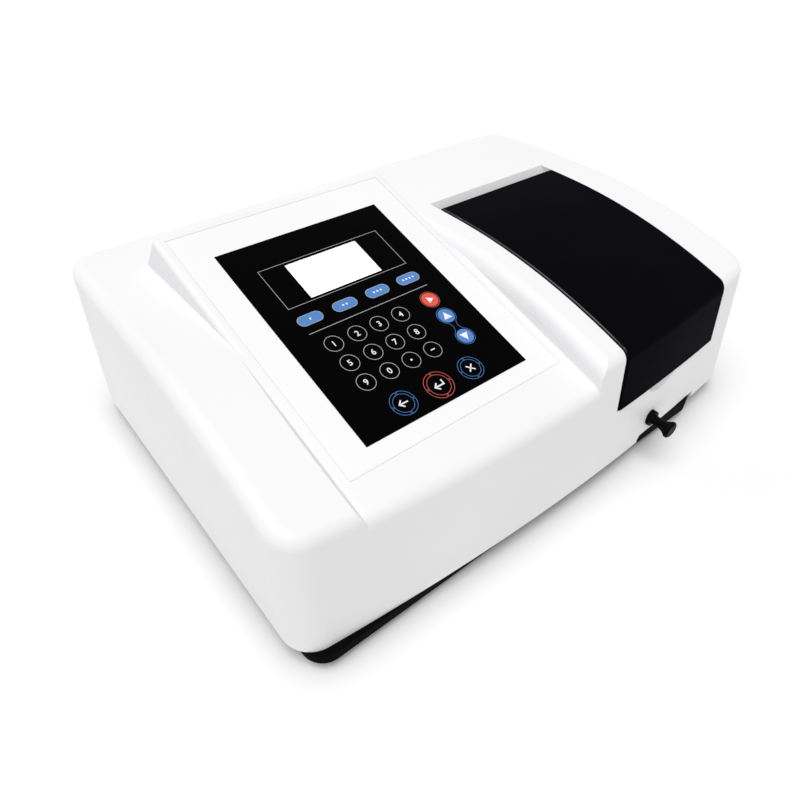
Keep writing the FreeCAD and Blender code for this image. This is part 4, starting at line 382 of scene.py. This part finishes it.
# Thin white lines: frame round the display, divider and the digit keys' rings
lines = bmesh.new()
add_line(lines, [(across(0.1345), down(0.143)), (across(0.869), down(0.143)),
                 (across(0.869), down(0.3605)), (across(0.1345), down(0.3605))],
         RIM_LINE, LOW, HIGH, closed=True)
finish_piece("display_frame_line", lines, print_grey)
divider = bmesh.new()
add_line(divider, [(across(0.1355), down(0.499)), (across(0.872), down(0.499))], DIVIDER_LINE, LOW,
         HIGH)
finish_piece("divider_line", divider, print_grey)
rings = bmesh.new()
for row in DIGIT_ROWS:
    for column in DIGIT_COLUMNS:
        add_line(rings, circle(across(column), down(row), DIGIT_RADIUS), RING_LINE, LOW, HIGH,
                 closed=True)
finish_piece("digit_key_rings", rings, print_grey)

# Blue and red key faces with their outlines
faces = bmesh.new()
rims = bmesh.new()
for column in OVAL_COLUMNS:
    add_face(faces, stadium(across(column), down(OVAL_ROW), OVAL_WIDTH, OVAL_HEIGHT), LOW, HIGH)
    add_line(rims, stadium(across(column), down(OVAL_ROW), OVAL_WIDTH + 0.2, OVAL_HEIGHT + 0.2),
             RIM_LINE, LOW, HIGH + 0.01, closed=True)
for u, v in (ARROW_UP, ARROW_DOWN):
    add_face(faces, circle(u, v, ROUND_RADIUS), LOW, HIGH)
finish_piece("blue_key_faces", faces, print_blue)
finish_piece("oval_key_rims", rims, print_grey)
red = bmesh.new()
add_face(red, circle(START[0], START[1], ROUND_RADIUS + 0.1), LOW, HIGH)
finish_piece("red_key_face", red, print_red)
red_lines = bmesh.new()
add_line(red_lines, circle(START[0], START[1], ROUND_RADIUS + 1.0), ROUND_LINE, LOW, HIGH,
         closed=True)
blue_lines = bmesh.new()
WAIST = 2.2


def figure_eight(low, high, radius, waist):
    """The outline round two round keys, drawn in at its waist."""
    middle = ((low[0] + high[0]) / 2.0, (low[1] + high[1]) / 2.0)
    half = (high[1] - low[1]) / 2.0
    big = (half * half - radius * radius + waist * waist) / (2.0 * (radius - waist))
    centre = waist + big
    tilt = math.degrees(math.atan2(half, centre))
    points = circle(high[0], high[1], radius, -tilt, 180.0 + tilt)
    points += circle(middle[0] - centre, middle[1], big, tilt, -tilt)[1:-1]
    points += circle(low[0], low[1], radius, 180.0 - tilt, 360.0 + tilt)
    points += circle(middle[0] + centre, middle[1], big, 180.0 + tilt, 180.0 - tilt)[1:-1]
    return points


add_line(blue_lines, figure_eight(ARROW_DOWN, ARROW_UP, ROUND_RADIUS + 1.0, WAIST), ROUND_LINE, LOW,
         HIGH, closed=True)
GAP_ANGLE = 3.0
for number, (u, v, outer, inner) in enumerate(SEGMENTED):
    target = red_lines if number == 1 else blue_lines
    for quarter in range(4):
        start = quarter * 90.0 + GAP_ANGLE
        end = (quarter + 1) * 90.0 - GAP_ANGLE
        sector = circle(u, v, outer, start, end) + circle(u, v, inner, end, start)
        add_line(target, sector, RING_LINE, LOW, HIGH, closed=True)
finish_piece("red_key_lines", red_lines, print_red_line)
finish_piece("blue_key_lines", blue_lines, print_blue_line)

# White symbols on the keys
symbols = bmesh.new()
TRIANGLE = 3.6
for (u, v), sign in ((ARROW_UP, 1.0), (ARROW_DOWN, -1.0)):
    base = v - sign * TRIANGLE * 0.75
    add_face(symbols, [(u - TRIANGLE, base), (u + TRIANGLE, base), (u, v + sign * TRIANGLE * 1.05)],
             SYMBOL_LOW, SYMBOL_HIGH)
u, v = START
add_face(symbols, [(u - 2.0, v - 3.0), (u + 3.4, v), (u - 2.0, v + 3.0)], SYMBOL_LOW, SYMBOL_HIGH)
for number, column in enumerate(OVAL_COLUMNS):
    for dot in range(number + 1):
        spot = across(column) + (dot - number / 2.0) * 3.1
        add_face(symbols, circle(spot, down(OVAL_ROW), 0.85), SYMBOL_LOW, SYMBOL_HIGH)
u, v, outer, inner = SEGMENTED[0]
add_line(symbols, [(u + 3.6, v), (u - 3.2, v)], 1.0, LOW, HIGH)
add_line(symbols, [(u - 0.6, v + 2.8), (u - 3.6, v), (u - 0.6, v - 2.8)], 1.0, LOW, HIGH)
u, v, outer, inner = SEGMENTED[1]
add_line(symbols, [(u + 3.8, v + 3.0), (u + 3.8, v - 0.8), (u - 3.6, v - 0.8)], 1.1, LOW, HIGH)
add_line(symbols, [(u - 1.0, v + 2.0), (u - 4.0, v - 0.8), (u - 1.0, v - 3.6)], 1.1, LOW, HIGH)
u, v, outer, inner = SEGMENTED[2]
add_line(symbols, [(u - 2.6, v - 2.6), (u + 2.6, v + 2.6)], 1.0, LOW, HIGH)
add_line(symbols, [(u - 2.6, v + 2.6), (u + 2.6, v - 2.6)], 1.0, LOW, HIGH)
sign_v = down(DIGIT_ROWS[2])
add_face(symbols, circle(across(DIGIT_COLUMNS[2]), sign_v, 0.8), SYMBOL_LOW, SYMBOL_HIGH)
minus_u = across(DIGIT_COLUMNS[3])
add_line(symbols, [(minus_u - 1.8, sign_v), (minus_u + 1.8, sign_v)], 0.85, SYMBOL_LOW, SYMBOL_HIGH)
finish_piece("key_symbols", symbols, print_white)

DIGIT_SIZE = 6.7
for row, marks in zip(DIGIT_ROWS, DIGITS):
    for column, mark in zip(DIGIT_COLUMNS, marks):
        curve = bpy.data.curves.new("digit_curve", "FONT")
        curve.body = mark
        curve.size = DIGIT_SIZE
        curve.align_x = "CENTER"
        curve.extrude = 0.04
        curve.offset = 0.07
        curve.resolution_u = 6
        holder = bpy.data.objects.new("digit_holder", curve)
        scene.collection.objects.link(holder)
        bpy.context.view_layer.update()
        depsgraph = bpy.context.evaluated_depsgraph_get()
        data = bpy.data.meshes.new_from_object(holder.evaluated_get(depsgraph))
        bpy.data.objects.remove(holder)
        heights = [vertex.co.y for vertex in data.vertices]
        widths = [vertex.co.x for vertex in data.vertices]
        middle_v = (min(heights) + max(heights)) / 2.0
        middle_u = (min(widths) + max(widths)) / 2.0
        data.transform(Matrix.Translation((across(column) - middle_u, down(row) - middle_v,
                                           FILM_TOP + 0.06)))
        data.transform(FILM)
        item = bpy.data.objects.new("digit_" + mark, data)
        scene.collection.objects.link(item)
        data.materials.clear()
        data.materials.append(print_white)
        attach(item, "case")

# White bead in the gap round the panel insert, just below both faces
SEAM_LEFT, SEAM_RIGHT = -22.7, 166.7
SEAM_DOWN, SEAM_UP = -14.2, 212.2
SEAM_WIDTH = 0.4
seam = bmesh.new()
add_line(seam, [(SEAM_LEFT, SEAM_DOWN), (SEAM_RIGHT, SEAM_DOWN), (SEAM_RIGHT, SEAM_UP),
                (SEAM_LEFT, SEAM_UP)], SEAM_WIDTH, -1.4, -0.5, closed=True)
finish_piece("panel_seam", seam, white)

UNIT = Matrix.Diagonal((MM, MM, MM, 1.0))


def lathe(mesh, profile, centre, sides=40):
    """Turn the profile's points (radius, y) round the line along y through centre (x, z)."""
    turned = []
    for radius, y in profile:
        turned.append([
            mesh.verts.new((centre[0] + radius * math.cos(2.0 * math.pi * i / sides), y,
                            centre[1] + radius * math.sin(2.0 * math.pi * i / sides)))
            for i in range(sides)])
    for k in range(len(turned)):
        one = turned[k]
        two = turned[(k + 1) % len(turned)]
        for i in range(sides):
            after = (i + 1) % sides
            mesh.faces.new((one[i], one[after], two[after], two[i]))


def shade_smooth(item, limit):
    for polygon in item.data.polygons:
        polygon.use_smooth = True
    item.data.set_sharp_from_angle(angle=math.radians(limit))


# Collar on the pull rod, between the knob's neck and the bush
ROD_CENTRE = (103.7, 34.9)
COLLAR = ((3.02, -159.8), (3.95, -159.8), (4.1, -159.3), (4.1, -158.7), (3.85, -158.45),
          (3.85, -158.05), (4.1, -157.8), (4.1, -157.2), (3.8, -156.85), (3.02, -156.85))
collar = bmesh.new()
lathe(collar, COLLAR, ROD_CENTRE)
collar_item = finish_piece("rod_collar", collar, knob_black, UNIT, "carriage")
shade_smooth(collar_item, 50.0)

# Faint upright crease in the cover beside the pull rod: x, y, z and half its width
CREASE = ((127.9, -151.18, 38.6, 0.05), (127.85, -151.5, 36.4, 0.4), (127.6, -151.8, 34.0, 0.6),
          (127.15, -152.12, 31.4, 0.66), (126.3, -152.5, 28.8, 0.62), (125.1, -152.9, 26.3, 0.45),
          (124.0, -153.15, 24.9, 0.1))
crease = bmesh.new()
sections = []
ARC_STEPS = 6
SUNK = 0.25
for x, y, z, half in CREASE:
    turns = [math.pi * k / ARC_STEPS for k in range(ARC_STEPS + 1)]
    sections.append([
        crease.verts.new((x - half * math.cos(turn),
                          y + SUNK - (half * 0.75 + 0.2) * math.sin(turn), z))
        for turn in turns])
for one, two in zip(sections, sections[1:]):
    for k in range(ARC_STEPS):
        crease.faces.new((one[k], one[k + 1], two[k + 1], two[k]))
    crease.faces.new((one[ARC_STEPS], one[0], two[0], two[ARC_STEPS]))
crease.faces.new(sections[0])
crease.faces.new(list(reversed(sections[-1])))
crease_item = finish_piece("cover_crease", crease, white, UNIT)
shade_smooth(crease_item, 60.0)


# Insulators and contacts in the data sockets
PORT_X = -72.0
PLATE_FACE = 171.5
MOUTH_FLOOR = -6.05


def rear_matrix(height):
    """Millimetres on the rear plate to metres: u towards -x, v up and w outwards."""
    return Matrix(((-MM, 0.0, 0.0, PORT_X * MM), (0.0, 0.0, MM, PLATE_FACE * MM),
                   (0.0, MM, 0.0, height * MM), (0.0, 0.0, 0.0, 1.0)))


def insulator(name, outline, face, height):
    block = bmesh.new()
    add_face(block, outline, MOUTH_FLOOR, face)
    bmesh.ops.bevel(block, geom=block.edges[:], offset=0.3, segments=2, affect="EDGES")
    finish_piece(name, block, socket_black, rear_matrix(height))


gold = metal("contact_gold", (0.72, 0.5, 0.2), (0.82, 0.6, 0.28), 0.22, 0.32, depth=0.000002)
PORTS = (("parallel", 92.0, 17.4, (13, 12)), ("serial", 68.0, 7.0, (5, 4)))
for label, height, reach, counts in PORTS:
    insulator(label + "_insulator",
              [(-reach - 1.0, 3.3), (reach + 1.0, 3.3), (reach, -3.3), (-reach, -3.3)], 0.5, height)
    dots = bmesh.new()
    pitch = 2.0 * (reach - 1.6) / (counts[0] - 1)
    for count, v in zip(counts, (1.3, -1.3)):
        for i in range(count):
            add_face(dots, circle((i - (count - 1) / 2.0) * pitch, v, 0.5), 0.3, 0.62)
    finish_piece(label + "_contacts", dots, gold, rear_matrix(height))
USB_HEIGHT = 46.0
insulator("usb_tongue", [(-2.9, 1.8), (2.9, 1.8), (2.9, -1.8), (-2.9, -1.8)], 0.4, USB_HEIGHT)
strips = bmesh.new()
for u in (-1.3, 1.3):
    for low, high in ((1.7, 1.98), (-1.98, -1.7)):
        add_face(strips, [(u - 0.5, low), (u + 0.5, low), (u + 0.5, high), (u - 0.5, high)], -5.5,
                 0.1)
finish_piece("usb_contacts", strips, gold, rear_matrix(USB_HEIGHT))


# The lid's two long edges: a thin glossier, lighter skin on their rounding, a painted highlight
# where the fillets catch the light, in metres
EDGE_TILT = 0.4
SKIN_LIFT = 0.00006
SKIN_THICKNESS = 0.00008


def edge_skin(name, side):
    """Copy the faces that lean to one side of the lid: side is -1 for left and 1 for right."""
    lid = frame["nodes"]["chamber_lid"]
    mesh = bmesh.new()
    mesh.from_mesh(lid.data)
    away = [
        face for face in mesh.faces
        if face.normal.x * side < EDGE_TILT or face.normal.z < EDGE_TILT or face.normal.y < -0.5]
    bmesh.ops.delete(mesh, geom=away, context="FACES")
    for vertex in mesh.verts:
        vertex.normal_update()
    for vertex in mesh.verts:
        vertex.co += vertex.normal * SKIN_LIFT
    item = finish_piece(name, mesh, lid_edge_highlight, Matrix.Identity(4), "lid")
    shade_smooth(item, 60.0)
    thick = item.modifiers.new("thickness", "SOLIDIFY")
    thick.thickness = SKIN_THICKNESS
    thick.offset = -1.0


# Painted highlight skins on the lid's left and right edges
edge_skin("lid_left_highlight_skin", -1.0)
edge_skin("lid_right_highlight_skin", 1.0)

# Plain pale floor, soft light and the camera
floor_mesh = bmesh.new()
bmesh.ops.create_grid(floor_mesh, x_segments=2, y_segments=2, size=6.0)
floor_data = bpy.data.meshes.new("floor")
floor_mesh.to_mesh(floor_data)
floor_mesh.free()
floor = bpy.data.objects.new("floor", floor_data)
floor.location = (0.0, 0.0, -0.0002)
scene.collection.objects.link(floor)
floor_material = moulded("floor_pale", (0.9, 0.9, 0.9), (0.92, 0.92, 0.92), 0.85, 0.95, 200.0)
floor_data.materials.append(floor_material)

world = bpy.data.worlds.new("studio")
scene.world = world
world.use_nodes = True
WORLD_LIGHT = 0.435
background = world.node_tree.nodes["Background"]
background.inputs["Color"].default_value = (1.0, 1.0, 1.0, 1.0)


def world_math(operation, first, second, third=None):
    node = world.node_tree.nodes.new("ShaderNodeMath")
    node.operation = operation
    node.use_clamp = True
    for socket, value in zip(node.inputs, (first, second, third)):
        if isinstance(value, float):
            socket.default_value = value
        elif value is not None:
            world.node_tree.links.new(value, socket)
    return node.outputs["Value"]


path = world.node_tree.nodes.new("ShaderNodeLightPath")
seen = world_math("ADD", path.outputs["Is Camera Ray"], path.outputs["Is Glossy Ray"])
seen = world_math("ADD", seen, path.outputs["Is Transmission Ray"])
strength = world_math("MULTIPLY_ADD", seen, 1.0 - WORLD_LIGHT, WORLD_LIGHT)
world.node_tree.links.new(strength, background.inputs["Strength"])

# One very soft light from above, a little to the left and the front
KEY_STRENGTH = 2.15
KEY_WIDTH = 55.0
KEY_DIRECTION = Vector((0.235, 0.07, -0.97))
key_data = bpy.data.lights.new("key", "SUN")
key_data.energy = KEY_STRENGTH
key_data.angle = math.radians(KEY_WIDTH)
key = bpy.data.objects.new("key", key_data)
key.rotation_euler = KEY_DIRECTION.to_track_quat("-Z", "Y").to_euler()
scene.collection.objects.link(key)

# The camera, worked out from the vanishing points: its focal length in pixels, place and axes
IMAGE_WIDTH = 800.0
FOCAL_PIXELS = 693.3
SENSOR = 36.0
PLACE = Vector((-0.3379, -0.3329, 0.4206))
RIGHT = Vector((0.76842, -0.63850, 0.04304))
UP = Vector((0.40146, 0.53334, 0.74457))
BACK = Vector((-0.49836, -0.55486, 0.66616))
camera_data = bpy.data.cameras.new("camera")
camera_data.sensor_fit = "HORIZONTAL"
camera_data.sensor_width = SENSOR
camera_data.lens = SENSOR * FOCAL_PIXELS / IMAGE_WIDTH
camera_data.clip_start = 0.01
camera = bpy.data.objects.new("camera", camera_data)
scene.collection.objects.link(camera)
camera.matrix_world = Matrix((
    (RIGHT.x, UP.x, BACK.x, PLACE.x),
    (RIGHT.y, UP.y, BACK.y, PLACE.y),
    (RIGHT.z, UP.z, BACK.z, PLACE.z),
    (0.0, 0.0, 0.0, 1.0)))
scene.camera = camera
scene.view_settings.view_transform = "Standard"
